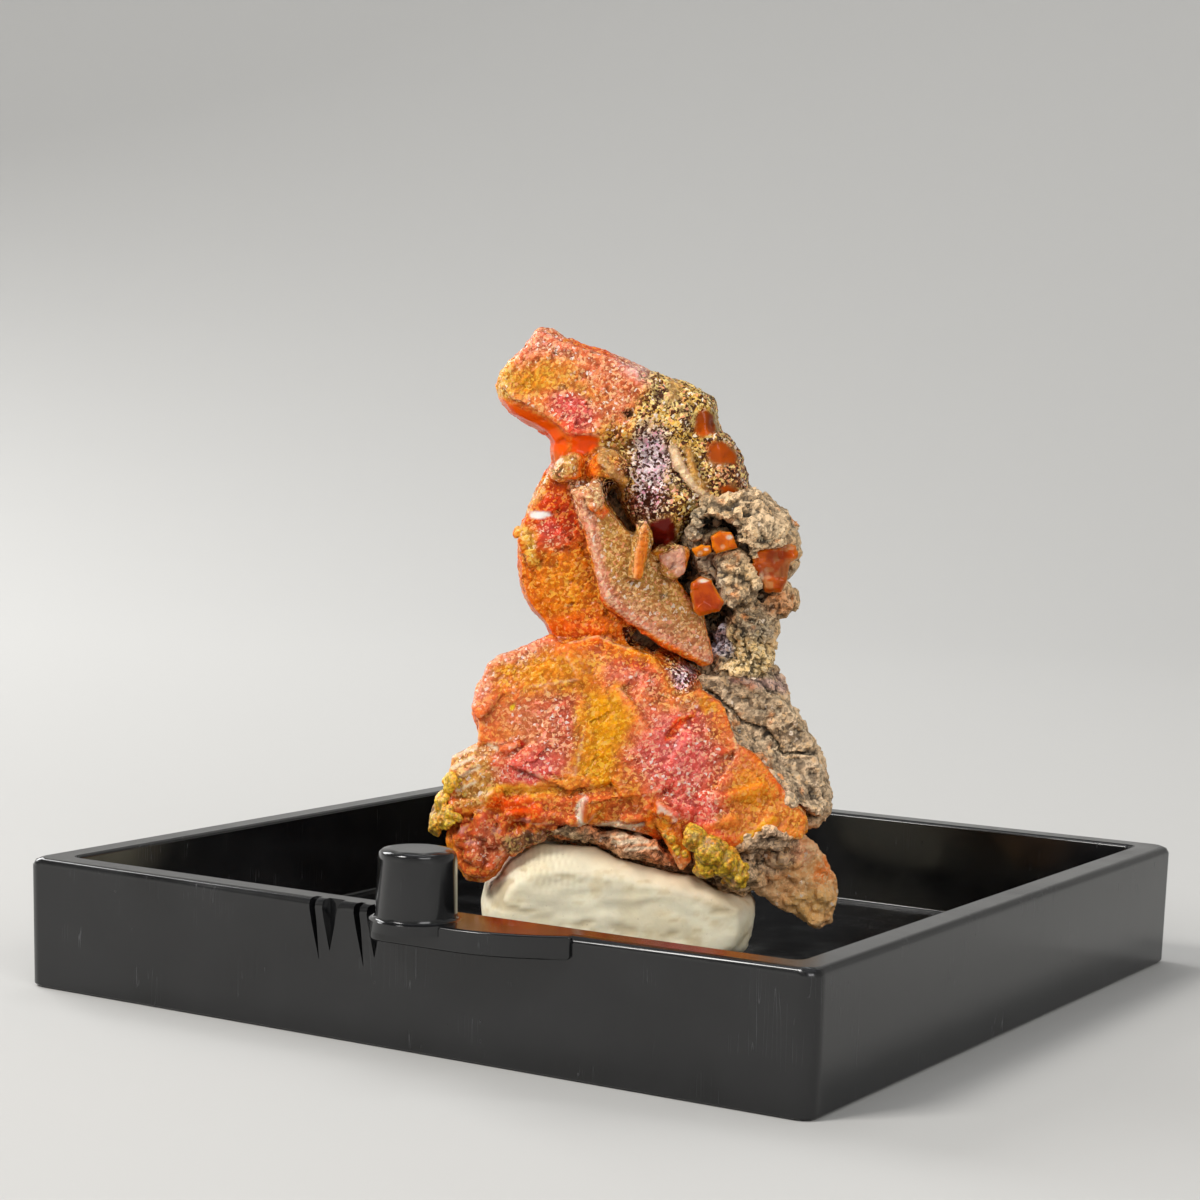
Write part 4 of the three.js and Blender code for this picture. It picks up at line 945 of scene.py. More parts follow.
def crystal_cluster():
    """The blade, the disc, the tablet and the fan of plates, as one skin with all its growth."""
    body = node_shape("wulfenite_cluster")
    extra = [tube(laid(body, line, 0.3), radius) for line, radius, _ in RIDGES]
    for outline, proud, thick in ((UPRIGHT, 0.75, 1.6), (CRUMB_A, 0.4, 1.2), (CRUMB_B, 0.45, 1.2),
                                  (SPIKE, 0.35, 0.8)):
        extra.append(plate_on(body, outline, proud, thick))
    for x, z, sizes, turns, proud in SMALL_GROWTHS:
        extra += [slab(place, sizes, turns, 0.3) for place in laid(body, [(x, z)], proud)]
    extra += [tube(laid(body, CURVE_BAND, 0.06), 0.3), tube(laid(body, YELLOW_EDGE, 0.02), 0.16)]
    for chipped in ((FOOT_CRUST, 40, 0.05, 0.35, 0.8, 613), (BROKEN_FOOT, 40, 0.1, 0.25, 1.1, 627),
                    (CRUMB_A, 9, 0.5, 0.3, 0.6, 617), (CRUMB_B, 8, 0.5, 0.25, 0.55, 619),
                    (CURL_PIT, 7, 0.1, 0.25, 0.4, 623)):
        extra += littered(body, *chipped)
    depth = front_of(body, 2.2, 28.4)[1]
    extra.append(block(PINK_BLOCK, depth - 0.7, depth + 1.5, 0.15))
    extra += [plate_on(body, *plate) for plate in PLATES]
    ob, mesh, p, normal = skinned("wulfenite_crystals", [body, *extra], VOXEL["crystals"], 2)
    plate_edge = plate_edges(p, PLATES)
    front = 1 - step(-0.5, 1.5, p[:, 1])
    near = near_side(p, front)
    face = tablet_face(p)
    fan = 1 - step(22.0, 24.0, p[:, 2] + 0.35 * p[:, 0])
    bare = most(area(GLOW_RIM, 0.3)(p), area(RED_BLOCK, 0.2)(p),
                *[near(window, 0.15) for window in WINDOWS],
                *[near(patch, 0.1) for patch in (ORANGE_FACE, RED_STRIP, GLOSS_REFLECTION, GLINT, SPIKE)])
    patchy = step(-0.35, 0.25, fractal(p, 2.5, 71))
    coat = (1 - bare) * (1 - 0.3 * fan * (1 - patchy))
    height, number = crystals(p, 0.5, 31)
    fine, _ = crystals(p, 0.27, 41)
    broad = fractal(p, 3.0, 5, 3)
    middle = fractal(p, 1.0, 9, 3)
    rib, riblet = pleats(p)
    tip = spot((3.1, 20.6), (0.8, 0.8))(p)
    ridges = most(*[stroke(line, 0.32, 0.08)(p) * front for line, _, _ in RIDGES])
    wild = most(sparkling_zone(p), near(UNDER_TIP, 0.2), near(UNDER_TABLET, 0.2), tip * front,
                0.8 * spot((-1.7, 36.3), (1.1, 1.1))(p) * front) * (1 - ridges)
    crusty = area(FOOT_CRUST, 0.25)(warped(p, 0.7, 0.3, 91)) * front * (1 - 0.8 * area(STRIATED, 0.3)(p))
    broken = near(BROKEN_FOOT, 0.3)
    coat = coat * (0.85 + 0.15 * wild)
    lift = 0.03 + (0.06 * broad + (0.03 + 0.16 * wild) * middle) * (1 - 0.9 * face)
    lift += ((0.06 + 0.16 * wild) * (height - 0.45) * (1 - bare) * (1 - 0.75 * face)
             + 0.09 * coat * (fine - 0.45))
    lift += fan * (0.07 * (rib - 0.3) + 0.03 * riblet + 0.15 * facets(p, 2.6, 79))
    lift += (1 - fan) * (1 - face) * 0.2 * facets(p, 0.9, 83)
    lift += 0.03 * face * (fine - 0.4)
    lift -= near(HOLE, 0.1) * 0.35
    lift -= near(CAVITY, 0.3) * 0.3
    lift -= near(UNDER_TABLET, 0.2) * 0.3
    lift -= 0.14 * most(*[near(slit, 0.1) for slit in SLITS])
    moved(mesh, p + normal * lift[:, None])
    low = 1 - step(21.4, 22.4, p[:, 2] + 0.18 * p[:, 0])
    # Painted shade: how deep each point lies in a hollow; hollows are darkened and ridges lightened with
    # it.
    hollow_shading = 4 * sunk(mesh, 3) + 2.5 * sunk(mesh, 12)
    tint = upper_tint(p)
    tint += low[:, None] * (lower_tint(p) - tint)
    paint = partial(blend, tint)
    pinkness = step(0.03, 0.11, tint[:, 2] / tint[:, 0])
    coat *= np.where(wild > 0.5, 1, 0.65 + 0.35 * pinkness) * (1 - 0.25 * face)
    plain = most(*[near(zone, 0.1) for zone in (UPRIGHT, PINK_BLOCK, GREY_FACE)])
    coat *= (1 - 0.7 * plain * (1 - face)) * (1 - 0.6 * ridges)
    tide = fractal(p, 1.8, 221, 3)
    # Painted highlights, pale, along parts of the plate edges; deep red along other parts.
    rim = (1 - step(0.02, 0.1, plate_edge)) * front * (1 - wild) * (1 - face)
    paint(rim * step(0.1, 0.35, fractal(p, 1.1, 211, 2)) * 0.35, PALE)
    paint(rim * step(0.05, 0.3, -fractal(p, 1.1, 211, 2)) * 0.35, DEEP)
    paint(crusty * 0.9, (122, 92, 66))
    paint(crusty * step(0.1, 0.4, fractal(p, 0.9, 215, 2)) * 0.8, (186, 96, 44))
    # Painted light and shade: higher crystals and ribs lighter, lower ones darker, with a random tone per
    # crystal; hollows darker still.
    shade = 1 + 0.5 * (height - 0.45) * coat + 0.25 * (number - 0.5) * coat
    shade += fan * (0.12 * (rib - 0.2) + 0.08 * riblet)
    tint *= (np.clip(shade, 0.4, 1.6) * np.clip(1 - hollow_shading * (1 - 0.7 * bare), 0.5, 1.35))[:, None]
    lines = most(*[stroke(line, 0.1, 0.07)(p) for line in FINE_LINES]) * front
    paint(lines * 0.9, PALE)
    coat *= 1 - 0.6 * lines
    # Painted shade: dark umber in the low spots between the little crystals of the rough druse.
    shaded_gaps = wild * (1 - face) * (1 - step(0.02, 0.25, height))
    paint(shaded_gaps * 0.8, UMBER)
    paint(near(GLINT, 0.06), (252, 246, 240))
    # Painted shade: surfaces that face up are darkened against the light from above.
    tint *= (0.93 - 0.28 * np.clip(normal[:, 2], 0, 1))[:, None]
    rough = np.maximum(wild, crusty)
    # Painted highlight colour: the tint at full brightness, half cream.
    spark = 0.5 * tint / np.maximum(tint.max(axis=1), 0.02)[:, None] + 0.5 * np.array(rgb(*CREAM))
    spark[:, 2] *= 0.3 + 0.7 * pinkness
    blend(spark, rough * 0.75, (255, 224, 140))
    lilac = most(spot((0.6, 34.4), (1.5, 3.0))(p), tip)
    blend(spark, lilac * wild * 0.7, (240, 222, 246))
    paint(broken * step(0.15, 0.35, fractal(p, 0.8, 225, 2)) * 0.6, (206, 156, 148))
    paint(broken * step(0.2, 0.4, -fractal(p, 0.8, 225, 2)) * 0.6, (150, 52, 24))
    # Painted highlights: the lit chips turn pale in these patches.
    sparkle = most(area(GLINT_STREAKS, 0.5)(warped(p, 0.6, 0.3, 93)),
                   0.7 * spot((-6.0, 29.9), (1.4, 1.0))(p))
    blend(spark, sparkle * front * 0.9, PALE)
    for colour in (tint, spark):
        colour *= np.clip(1 + 0.9 * tide * wild, 0.4, 1.5)[:, None]
    blend(spark, shaded_gaps * 0.6, UMBER)
    # Painted shade colour: a darker, redder copy of the tint, near-black umber in the rough druse.
    gap = tint * (0.74, 0.4, 0.3)
    blend(gap, rough * 0.9, UMBER)
    glint = np.where(rough > 0.5, 0.7, 0.15 + 0.7 * pinkness)
    painted(mesh, tint=tint, spark=spark, gap=gap, coat=coat, glint=glint)
    return placed(ob, WULFENITE, "wulfenite", "wulfenite_cluster", glassy=bare > 0.5)


# ---------------------------------------------------------------- rock

ROCK_PLATES = [  # the rock's flat faces, with the same values as in PLATES
    (path(4.2, 32.6, 5.8, 32.8, 7.6, 33.2, 8.7, 32.1, 9.5, 31.4, 9.5, 29.7, 7.3, 29.3, 6.3, 31.1,
          4.4, 31.5), 0.45, 2.0, (0, 0.1)),
    (path(8.7, 32.1, 10.4, 31.2, 10.6, 29.8, 9.6, 29.7, 9.4, 31.3), 0.2, 2.0, (0.2, 0)),
    (path(3.9, 28.6, 4.6, 29, 6, 29.1, 7.3, 28.3, 8, 26.8, 6.9, 26.2, 5.9, 25.8, 5.5, 27, 4.2, 27.7),
     0.15, 1.2, (0, -0.15)),
    (path(7.7, 25.8, 9.9, 26.5, 10.2, 25.7, 9.4, 25.3, 8.9, 24.3, 7.6, 25), 0.35, 1.6, (0, 0.1)),
    (path(6.1, 25.2, 7.6, 25.7, 9.1, 24.4, 9, 23.4, 7.9, 23.5, 6.5, 24.6), 0.15, 1.2, (0.1, 0)),
    (path(3.7, 20.5, 6.9, 21, 10.2, 18.8, 12.2, 16.2, 10.1, 15.9, 8.3, 17.7, 6.9, 18, 5.6, 19.2, 4, 19.7),
     0.3, 1.4),
    (path(5.6, 18.1, 8.3, 17.3, 10.1, 15.5, 12.3, 15.6, 12.8, 12.9, 12.6, 12.1, 11.1, 12.3, 8.4, 15.3,
          6.5, 16.3, 5.1, 17.4), 0.12, 1.2, (0, 0.05)),
    (path(10.5, 9.5, 12, 9.7, 13.4, 7.5, 13.2, 4.5, 12, 4.4, 10, 5.3, 8.9, 6.5, 9.3, 7.9),
     0.1, 1.2, (0.1, 0)),
]
LIP = path(3.95, 19.91, 4.92, 18.24, 5.66, 17.53, 6.3, 16.7, 7.2, 15.9, 8.1, 15.3, 8.9, 14.3, 9.9, 13.52,
           10.6, 12.7, 11.39, 12.35, 12.75, 11.6, 13.2, 12.4, 12.25, 15.29, 9.81, 16.19, 7.81, 18.32,
           5.84, 19.48)
DARK_LIP = path(7, 10.1, 7.5, 10.6, 8.2, 10.6, 9.3, 11.2, 9.9, 10.6, 10.9, 10.3, 11.34, 9.25, 9.96, 7.52,
                8.4, 8, 7.54, 8.42, 7.4, 9.4)
ROCK_HOLES = [  # outline, depth
    (path(4, 31.1, 4.5, 31.5, 5.3, 31.4, 6.3, 31.2, 6.5, 30.6, 6.4, 29.9, 5.3, 30.6, 4.6, 30.2,
          4.3, 30.4), 1.6),
    (path(2.2, 29, 3.8, 28.8, 4, 28.4, 3.8, 28, 4, 27.8, 4.9, 27.4, 3.6, 27.3, 3.4, 26.3, 3.6, 24.8,
          2.6, 26.4, 2, 27.1), 2.0),
    (path(4.2, 25, 5.6, 25.1, 5.9, 25.8, 6.6, 25, 6.2, 24.3, 5, 23.8), 1.2),
    (path(6.4, 25.7, 7.4, 25.9, 7.3, 25.4, 6.7, 25.3), 1.0),
    (path(6.5, 29.9, 7.4, 29.4, 7.6, 28.2, 7.2, 28.4, 6.9, 29, 6.4, 29.2), 0.9),
]
ROCK_RELIEF = (-0.8, 0.42)  # mm, how far the rock's skin may lie below or above its solid
LAYERS_ACROSS, LAYERS_UP = 0.885, 0.46  # cosine and sine of the slope of the rock's layers
CRACK = path(4.82, 19.64, 6.45, 18.49, 7.27, 17.71, 8.88, 17.23, 10.13, 15.66, 12.39, 15.66)
UPPER_SLAB = path(3.74, 20.28, 6.38, 20.76, 8.53, 19.75, 10.29, 18.74, 11.54, 17.04, 12.51, 15.86,
                  10.12, 15.79, 8.88, 17.23, 7.27, 17.85, 5.64, 18.87)
CRUMB_DARK = path(3.8, 28.6, 5.2, 29.1, 5.8, 28.2, 6, 26.8, 5.6, 25.6, 4.8, 26.6, 4.9, 27.4, 3.9, 27.8)
PITTED = path(2.13, 33.31, 4.19, 32.69, 4.34, 32.02, 4.41, 29.98, 3.48, 29.14, 2.92, 29.67, 2.19, 31.28)
SILVER = path(4.91, 23.66, 5.99, 24.1, 6.6, 22.33, 5.37, 22.16)
GOLD_DRUSE = path(6.56, 23.57, 8.35, 23.21, 9.34, 22.14, 8.7, 20.88, 5.95, 21.22, 6.19, 22.18)
PURPLE = path(6.83, 20.68, 8.03, 20.58, 9.52, 20.08, 10.2, 19.7, 9.39, 19.95, 8.05, 20.04)


def rock():
    """The grey-brown host rock: chipped and pitted above, a split slab below, a grainy tail."""
    body = node_shape("matrix_rock")
    fan = node_shape("wulfenite_cluster")
    grown = []
    for shape, *chipped in (
            (body, ROCK_PLATES[2][0], 46, 0.35, 0.4, 1.0, 641),
            (body, ROCK_PLATES[0][0], 22, 0.4, 0.5, 1.3, 643),
            (body, GOLD_DRUSE, 26, 0.1, 0.3, 0.7, 647), (body, ROCK_PLATES[7][0], 26, 0.1, 0.3, 0.8, 649),
            (fan, DARK_LIP, 26, 0.3, 0.3, 0.8, 653), (fan, LIP, 30, 0.2, 0.4, 0.9, 659),
            (body, ROCK_PLATES[3][0], 16, 0.3, 0.4, 1.1, 661)):
        grown += littered(shape, *chipped)
    grown += [plate_on(fan, LIP, 0.25, 2.2), plate_on(fan, DARK_LIP, 0.25, 2.0)]
    grown += [plate_on(body, *plate) for plate in ROCK_PLATES]
    ob, mesh, p, normal = skinned("host_rock", [body, *grown], VOXEL["rock"], 1)
    p[:, 1] += carved(p, normal, ROCK_HOLES)
    moved(mesh, p)
    p, normal = arrays(mesh)
    plate_edge = plate_edges(p, ROCK_PLATES)
    front = 1 - step(-0.5, 1.5, p[:, 1])
    near = near_side(p, front)
    q = warped(p, 1.4, 0.4, 33)
    broad = fractal(q, 3.0, 25, 3)
    ridged = 1 - 2 * np.abs(fractal(q, 1.7, 29, 3))
    chips = facets(q, 1.5, 37)
    crumbs, _ = crystals(q, 0.8, 35, 0.8)
    grit, _ = crystals(p, 0.4, 39, 0.8)
    slab_zone = 1 - step(20.2, 21.2, p[:, 2])
    x, y, z = p.T
    along, through = x * LAYERS_ACROSS - z * LAYERS_UP, x * LAYERS_UP + z * LAYERS_ACROSS
    strata = noise(np.stack([along / 3.5, y / 3, through], axis=1), 0.45, 43)
    tail = spot((12.4, 7.0), (3.2, 3.6), 40)(p) * (1 - step(10.5, 12.0, p[:, 2]))
    pitted = most(near(PITTED, 0.4), 0.6 * step(0.0, 0.4, fractal(p, 3.1, 45, 2)) * (1 - slab_zone))
    holes = step(0.1, 0.35, fractal(p, 0.8, 47, 2)) * (0.25 + 0.75 * pitted)
    gold = np.maximum(area(GOLD_DRUSE, 0.3)(q), area(SILVER, 0.2)(q))
    small = facets(q, 0.7, 57)
    flat = most(*[area(plate[0], 0.2)(p) for plate in ROCK_PLATES]) * front * (1 - 0.6 * pitted)
    broken = (0.1 * ridged + 0.8 * chips + 0.6 * small) * (1 - 0.5 * slab_zone) * (1 - 0.65 * flat)
    lift = 0.08 * broad + broken
    lift += 0.06 + 0.08 * (crumbs - 0.4) + 0.1 * (grit - 0.4) + slab_zone * 0.16 * strata
    lift = np.clip(lift, *ROCK_RELIEF)
    lift -= 0.5 * holes
    lift -= 0.35 * stroke(CRACK, 0.1, 0.12)(warped(p, 0.8, 0.15, 49)) * front
    lift += 0.12 * gold * (grit - 0.2)
    moved(mesh, p + normal * lift[:, None])
    # Painted shade: how deep each point lies in a hollow, for darkening the hollows.
    hollow_shading = 8 * sunk(mesh, 2) + 4 * sunk(mesh, 12)
    patchy = fractal(q, 2.6, 51)
    tint = evenly(p, (190, 158, 118))
    paint = partial(blend, tint)
    paint(step(-0.1, 0.4, patchy) * 0.7, (214, 180, 132))
    paint(step(-0.1, 0.4, -patchy) * 0.7, (146, 126, 102))
    paint(pitted * 0.6, (126, 118, 104))
    tint *= (0.8 + 0.2 * slab_zone)[:, None]
    paint(near(ROCK_PLATES[0][0], 0.3, q) * 0.6, (214, 182, 142))
    paint(slab_zone * 0.7, (196, 168, 136))
    paint(near(UPPER_SLAB, 0.2, q) * 0.75, (158, 134, 106))
    paint(tail * 0.9, (255, 186, 116))
    paint(spot((12.3, 5.4), (1.5, 1.1))(q) * tail * 0.9, (255, 200, 122))
    band = spot((-1.5, 9.8), (6.5, 2.6), -10)(p)
    paint(band * 0.75, (128, 98, 68))
    paint(band * step(0.0, 0.4, fractal(p, 1.0, 59)) * 0.8, (200, 106, 44))
    paint(near(STRIATED, 0.8) * 0.85, (214, 138, 92))
    paint(spot((9.0, 9.6), (1.5, 1.2), 40)(q) * 0.6, (160, 136, 118))
    paint(spot((10.9, 6.9), (1.4, 0.9), 10)(q) * 0.55, (120, 92, 66))
    paint(near(DARK_LIP, 0.3, q) * 0.85, (178, 146, 116))
    paint(near(LIP, 0.3, q) * 0.6, (168, 146, 120))
    paint(spot((9.5, 25.7), (1.2, 0.7), 5)(q) * front * 0.8, (196, 128, 74))
    paint(spot((11.3, 9.1), (0.9, 0.8))(q) * 0.85, (214, 150, 112))
    paint(spot((12.9, 7.8), (0.7, 0.8))(q) * 0.9, (238, 128, 44))
    paint(step(0.35, 0.55, fractal(p, 1.3, 53)) * (1 - pitted) * 0.7, (206, 122, 52))
    paint(area(GOLD_DRUSE, 0.5)(q) * 0.8, (212, 178, 118))
    paint(area(SILVER, 0.2)(q) * 0.9, (168, 158, 170))
    paint(stroke(PURPLE, 0.3, 0.25)(q) * front * 0.5, (170, 130, 140))
    paint(near(CRUMB_DARK, 0.3, q) * 0.75, (92, 84, 74))
    lines = most(*[stroke(line, 0.1, 0.07)(p) for line in FINE_LINES]) * front
    # Painted light and shade: raised crumbs, ridges and chips lighter, hollows darker, the tail lightened
    # against its dim light; with a random tone.
    shade = (0.95 + 0.5 * (crumbs - 0.3) + 0.3 * ridged + 0.8 * chips + 0.6 * small
             + 0.5 * fractal(p, 0.9, 61) + 0.45 * tail - hollow_shading * (1 - 0.4 * tail))
    tint *= np.clip(shade, 0.25, 1.8)[:, None]
    # Painted shade: the pits near-black.
    paint(holes * 0.85, (34, 28, 24))
    # Painted highlights: pale along the rock plates' edges.
    paint((1 - step(0.03, 0.16, plate_edge)) * front * step(-0.1, 0.3, chips) * 0.5, (236, 208, 168))
    # Painted shade in the crack.
    paint(stroke(CRACK, 0.1, 0.1)(warped(p, 0.8, 0.15, 49)) * front * 0.85, (40, 32, 26))
    paint(lines * 0.85, PALE)
    # Painted shade: the deep holes near-black in every colour.
    dark = most(*[near(outline, 0.18) for outline, _ in ROCK_HOLES])
    silver = near(SILVER, 0.2, q)
    bright = most(gold, tail * 0.8, 0.5 * step(0.1, 0.5, fractal(p, 2.0, 55)))
    # Painted highlight and shade colours: a lighter copy of the tint and a darker one.
    spark = 1.5 * tint + 0.03
    blend(spark, (0.25 + 0.5 * bright) * (1 - holes), (250, 230, 190))
    blend(spark, tail * 0.6, (255, 204, 140))
    blend(spark, silver * 0.8, (238, 234, 248))
    gap = tint * (0.4 + 0.4 * tail)[:, None]
    blend(gap, silver * 0.8, (52, 46, 54))
    for colour in (tint, spark, gap):
        blend(colour, dark * 0.92, (30, 18, 13))
    painted(mesh, tint=tint, spark=spark, gap=gap, coat=(0.75 + 0.25 * bright) * (1 - 0.5 * lines),
            glint=np.full(len(p), 0.6))
    return placed(ob, ROCK, "matrix", "matrix_rock")


# ---------------------------------------------------------------- crystals seated on the rock

NEAR_CRYSTALS = {  # outline, colour, and the spot of its white reflection
    "orange_crystal_low": (
        path(3.5, 27, 4.1, 27.4, 4.8, 27.2, 5.2, 26.5, 5.7, 25.8, 5.4, 25.2, 4.1, 24.9, 3.7, 25.3,
             3.5, 26.4),
        (212, 84, 0), ((4.3, 27.2), (0.35, 0.12), 10)),
    "orange_crystal_mid": (
        path(4.7, 30.1, 5.3, 30.5, 6, 30.4, 6.3, 29.9, 6.5, 29.4, 5.8, 29.2, 5.1, 29, 4.8, 29.4),
        (242, 122, 2), ((5.9, 30.1), (0.2, 0.14))),
    "orange_crystal_small": (
        path(3.5, 29.2, 4.1, 29.5, 4.7, 29.5, 4.8, 29.1, 4.4, 28.8, 3.8, 28.8),
        (244, 132, 4), ((4.4, 29.25), (0.16, 0.08))),
    "red_crystal": (
        path(7.5, 29.3, 8.8, 29.5, 9.6, 29.6, 10.4, 29.6, 10.5, 28.9, 10, 28.5, 9.9, 27.2, 9.5, 26.5,
             8.5, 26.5, 8.4, 27, 7.9, 27.9, 7.6, 28.5),
        (214, 96, 10), ((8.2, 27.4), (0.12, 0.4))),
}
HIDDEN_CRYSTAL = (None, (238, 112, 4), None)


def block(outline, near, far, bevel):
    """A crystal with a flat near face inside a sloping bevel, tapering a little towards the back."""
    rim = wound(np.array(outline))
    middle = rim.mean(0)
    reach = np.linalg.norm(rim - middle, axis=1).mean()
    rows = ((1 - bevel / reach, near), (1, near + 0.8 * bevel), (1, (near + far) / 2), (0.8, far))
    verts = [(x, y + 0.06 * (x - middle[0]), z)
             for scale, y in rows for x, z in middle + scale * (rim - middle)]
    return verts, stacked(len(rows), len(rim))


def seated(node, slot, voxel, seed):
    """One bare crystal: fine growth steps on its faces and chipped edges."""
    shape = node_shape(node)
    outline, colour, reflection = NEAR_CRYSTALS.get(node, HIDDEN_CRYSTAL)
    if outline:
        depths = [v.y for v in shape[0]]
        near, far = min(depths), max(depths)
        shape = block(outline, near + 0.05, far - 0.05, 0.1 + 0.05 * (far - near))
    ob, mesh, p, normal = skinned(node + "_skin", [shape], voxel, 1)
    steps = np.round(noise(warped(p, 1.5, 0.2, seed), 1.3, seed + 3) * 3) / 3
    lines = noise(p @ np.array(Matrix.Rotation(0.5, 3, "Y")) / (2.5, 2.5, 0.22), 1.0, seed + 5)
    chips = step(0.35, 0.6, noise(p, 0.5, seed + 7))
    planes = facets(p, 1.3, seed + 13) * (0.3 if node == "red_crystal" else 0.12)
    moved(mesh, p + normal * (0.02 + 0.03 * steps + 0.012 * lines - 0.05 * chips + planes)[:, None])
    tint = evenly(p, colour)
    # Painted highlight: the bevels and sides, turned away from the front, lighter orange.
    blend(tint, step(0.1, 0.5, 1 + normal[:, 1]) * 0.45, (255, 160, 40))
    blend(tint, chips * 0.5, (255, 214, 170))
    if node == "red_crystal":
        right = step(0.6, 1.6, p[:, 0] - 7.6 + 0.6 * (28.6 - p[:, 2]))
        blend(tint, step(0.0, 0.2, noise(p, 0.35, seed + 9)) * right * 0.8, (214, 150, 88))
        blend(tint, step(0.0, 0.4, noise(p, 0.8, seed + 11)) * 0.5, (128, 42, 10))
    if reflection:
        blend(tint, spot(*reflection)(p) * step(0.3, 0.8, -normal[:, 1]), (255, 236, 214))
    painted(mesh, tint=tint)
    return placed(ob, CLEAR, slot, node, glassy=np.ones(len(p), bool))


PLATE_FLOOR, PLATE_FACING = 10.5, 0.3  # the lowest height in mm, and how far round the back


def small_plates():
    """Little square plates of wulfenite grown here and there round the back."""
    random = np.random.default_rng(907)
    shapes = []
    for node, count, seed in (("matrix_rock", 60, 5), ("wulfenite_cluster", 36, 9)):
        points, outward = scattered(node_shape(node), count, seed)
        for point, out in zip(points, outward):
            turns, size = random.random(3) * 180, 0.7 + 0.9 * random.random()
            thick = 0.3 + 0.2 * random.random()
            if point[2] >= PLATE_FLOOR and out[1] >= PLATE_FACING:
                shapes.append(slab(point - out * 0.15, (size, size, thick), turns, 0.25))
    ob = merged("small_plates", shapes)
    shade = np.repeat(random.random(len(shapes)), [len(verts) for verts, _ in shapes])
    tint = evenly(shade, (240, 126, 20))
    blend(tint, shade, (206, 62, 10))
    painted(ob.data, tint=tint)
    return placed(ob, CLEAR, "clear_wulfenite")


def crust(node, count, seed, spread=()):
    """Mimetite: the solid crust grown over with little round knobs."""
    body = node_shape(node)
    points, outward = scattered(body, count, seed)
    random = np.random.default_rng(seed)
    knobs = [ball(point - 0.05 * out, 0.1 + 0.2 * size ** 2)
             for point, out, size in zip(points, outward, random.random(count))]
    crystal = node_shape("wulfenite_cluster")
    for x, z in spread:
        knobs += [ball(place, 0.16 + 0.14 * random.random())
                  for place in laid(crystal, (x, z) + 0.6 * (random.random((3, 2)) - 0.5), 0)]
    ob, mesh, p, normal = skinned(node + "_knobs", [body, *knobs], VOXEL["crust"], 1)
    grains, number = crystals(p, 0.24, seed, 0.9)
    moved(mesh, p + normal * (0.07 * (grains - 0.4) + 0.02)[:, None])
    tint = evenly(p, (206, 166, 40))
    patchy = fractal(p, 1.2, seed + 11)
    blend(tint, step(0.0, 0.5, patchy) * 0.8, (232, 184, 44))
    blend(tint, step(0.0, 0.5, -patchy) * 0.7, (128, 84, 34))
    blend(tint, step(0.6, 0.8, number) * 0.5, (226, 128, 20))
    blend(tint, step(0.15, 0.4, fractal(p, 1.5, seed + 13)) * 0.75, (136, 118, 100))
    # Painted light and shade: raised grains lighter, hollows darker.
    tint *= ((0.4 + 1.0 * grains) * np.clip(1 - 8 * sunk(mesh, 3), 0.4, 1.4))[:, None]
    painted(mesh, tint=tint)
    return placed(ob, MIMETITE, "mimetite", node)


# ---------------------------------------------------------------- putty

FINGER_RIDGES = (0.36, 0.4)  # mm from ridge to ridge in the two finger marks


def putty():
    """The pressed pad of tack: finger ridges, a wrinkled waist and the mark of its seam."""
    ob, mesh, p, normal = skinned("putty_pad", [node_shape("mounting_putty")], VOXEL["putty"], 14)
    front = 1 - step(-4.0, -1.5, p[:, 1])
    q = warped(p, 2.0, 0.35, 301)
    dents = fractal(p, 4.5, 303, 2)
    across = (q[:, 0] * 0.97 + q[:, 2] * 0.24) * 2 * math.pi / FINGER_RIDGES[0]
    finger = spot((-6.0, 8.4), (2.6, 1.5), -25)(p) * front
    second = spot((4.5, 6.8), (2.2, 1.3), -20)(p) * front
    across_2 = (q[:, 0] * 0.5 + q[:, 2] * 0.87) * 2 * math.pi / FINGER_RIDGES[1]
    wrinkle = noise(q / (2.6, 2.6, 0.75), 0.55, 307)
    waist = step(0.0, 0.5, 1 - np.abs(p[:, 2] - 5.3 + 0.18 * p[:, 0]) / 2.4) * (0.35 + 0.65 * front)
    tears = step(0.3, 0.6, wrinkle) * waist
    rough = fractal(p, 0.8, 309, 3)
    lift = 0.1 + 0.12 * dents + 0.02 * np.sin(across) * finger + 0.012 * np.sin(across_2) * second
    lift += 0.09 * wrinkle * waist - 0.12 * tears + 0.05 * rough
    seam = stroke(path(-9.45, 8, -9.2, 7, -9.3, 5.2), 0.07, 0.06)(p) * front
    dots = seam * step(0.0, 0.3, noise(p, 0.3, 311))
    lift -= 0.12 * dots
    moved(mesh, p + normal * lift[:, None])
    tint = evenly(p, (252, 242, 212))
    paint = partial(blend, tint)
    paint(step(-0.2, 0.5, fractal(p, 2.0, 313)) * 0.4, (236, 218, 172))
    paint(step(0.1, 0.45, fractal(p / (1.6, 1.6, 0.7), 0.7, 315)) * 0.5, (212, 190, 142))
    paint(tears * 0.6, (200, 180, 138))
    paint((0.5 - 0.5 * np.sin(across)) * finger * 0.4, (206, 188, 148))
    paint(dots, (52, 40, 28))
    # Painted shadow of the crystal on the putty's top, tinted orange.
    crystal_shadow = 1 - step(0.3, 1.6, 10.2 - 0.3 * np.abs(p[:, 0] + 5) - p[:, 2])
    paint(crystal_shadow * 0.35, (214, 160, 108))
    painted(mesh, tint=tint)
    return placed(ob, PUTTY, "mineral_tack", "mounting_putty", glassy=np.ones(len(p), bool))


# ---------------------------------------------------------------- tray

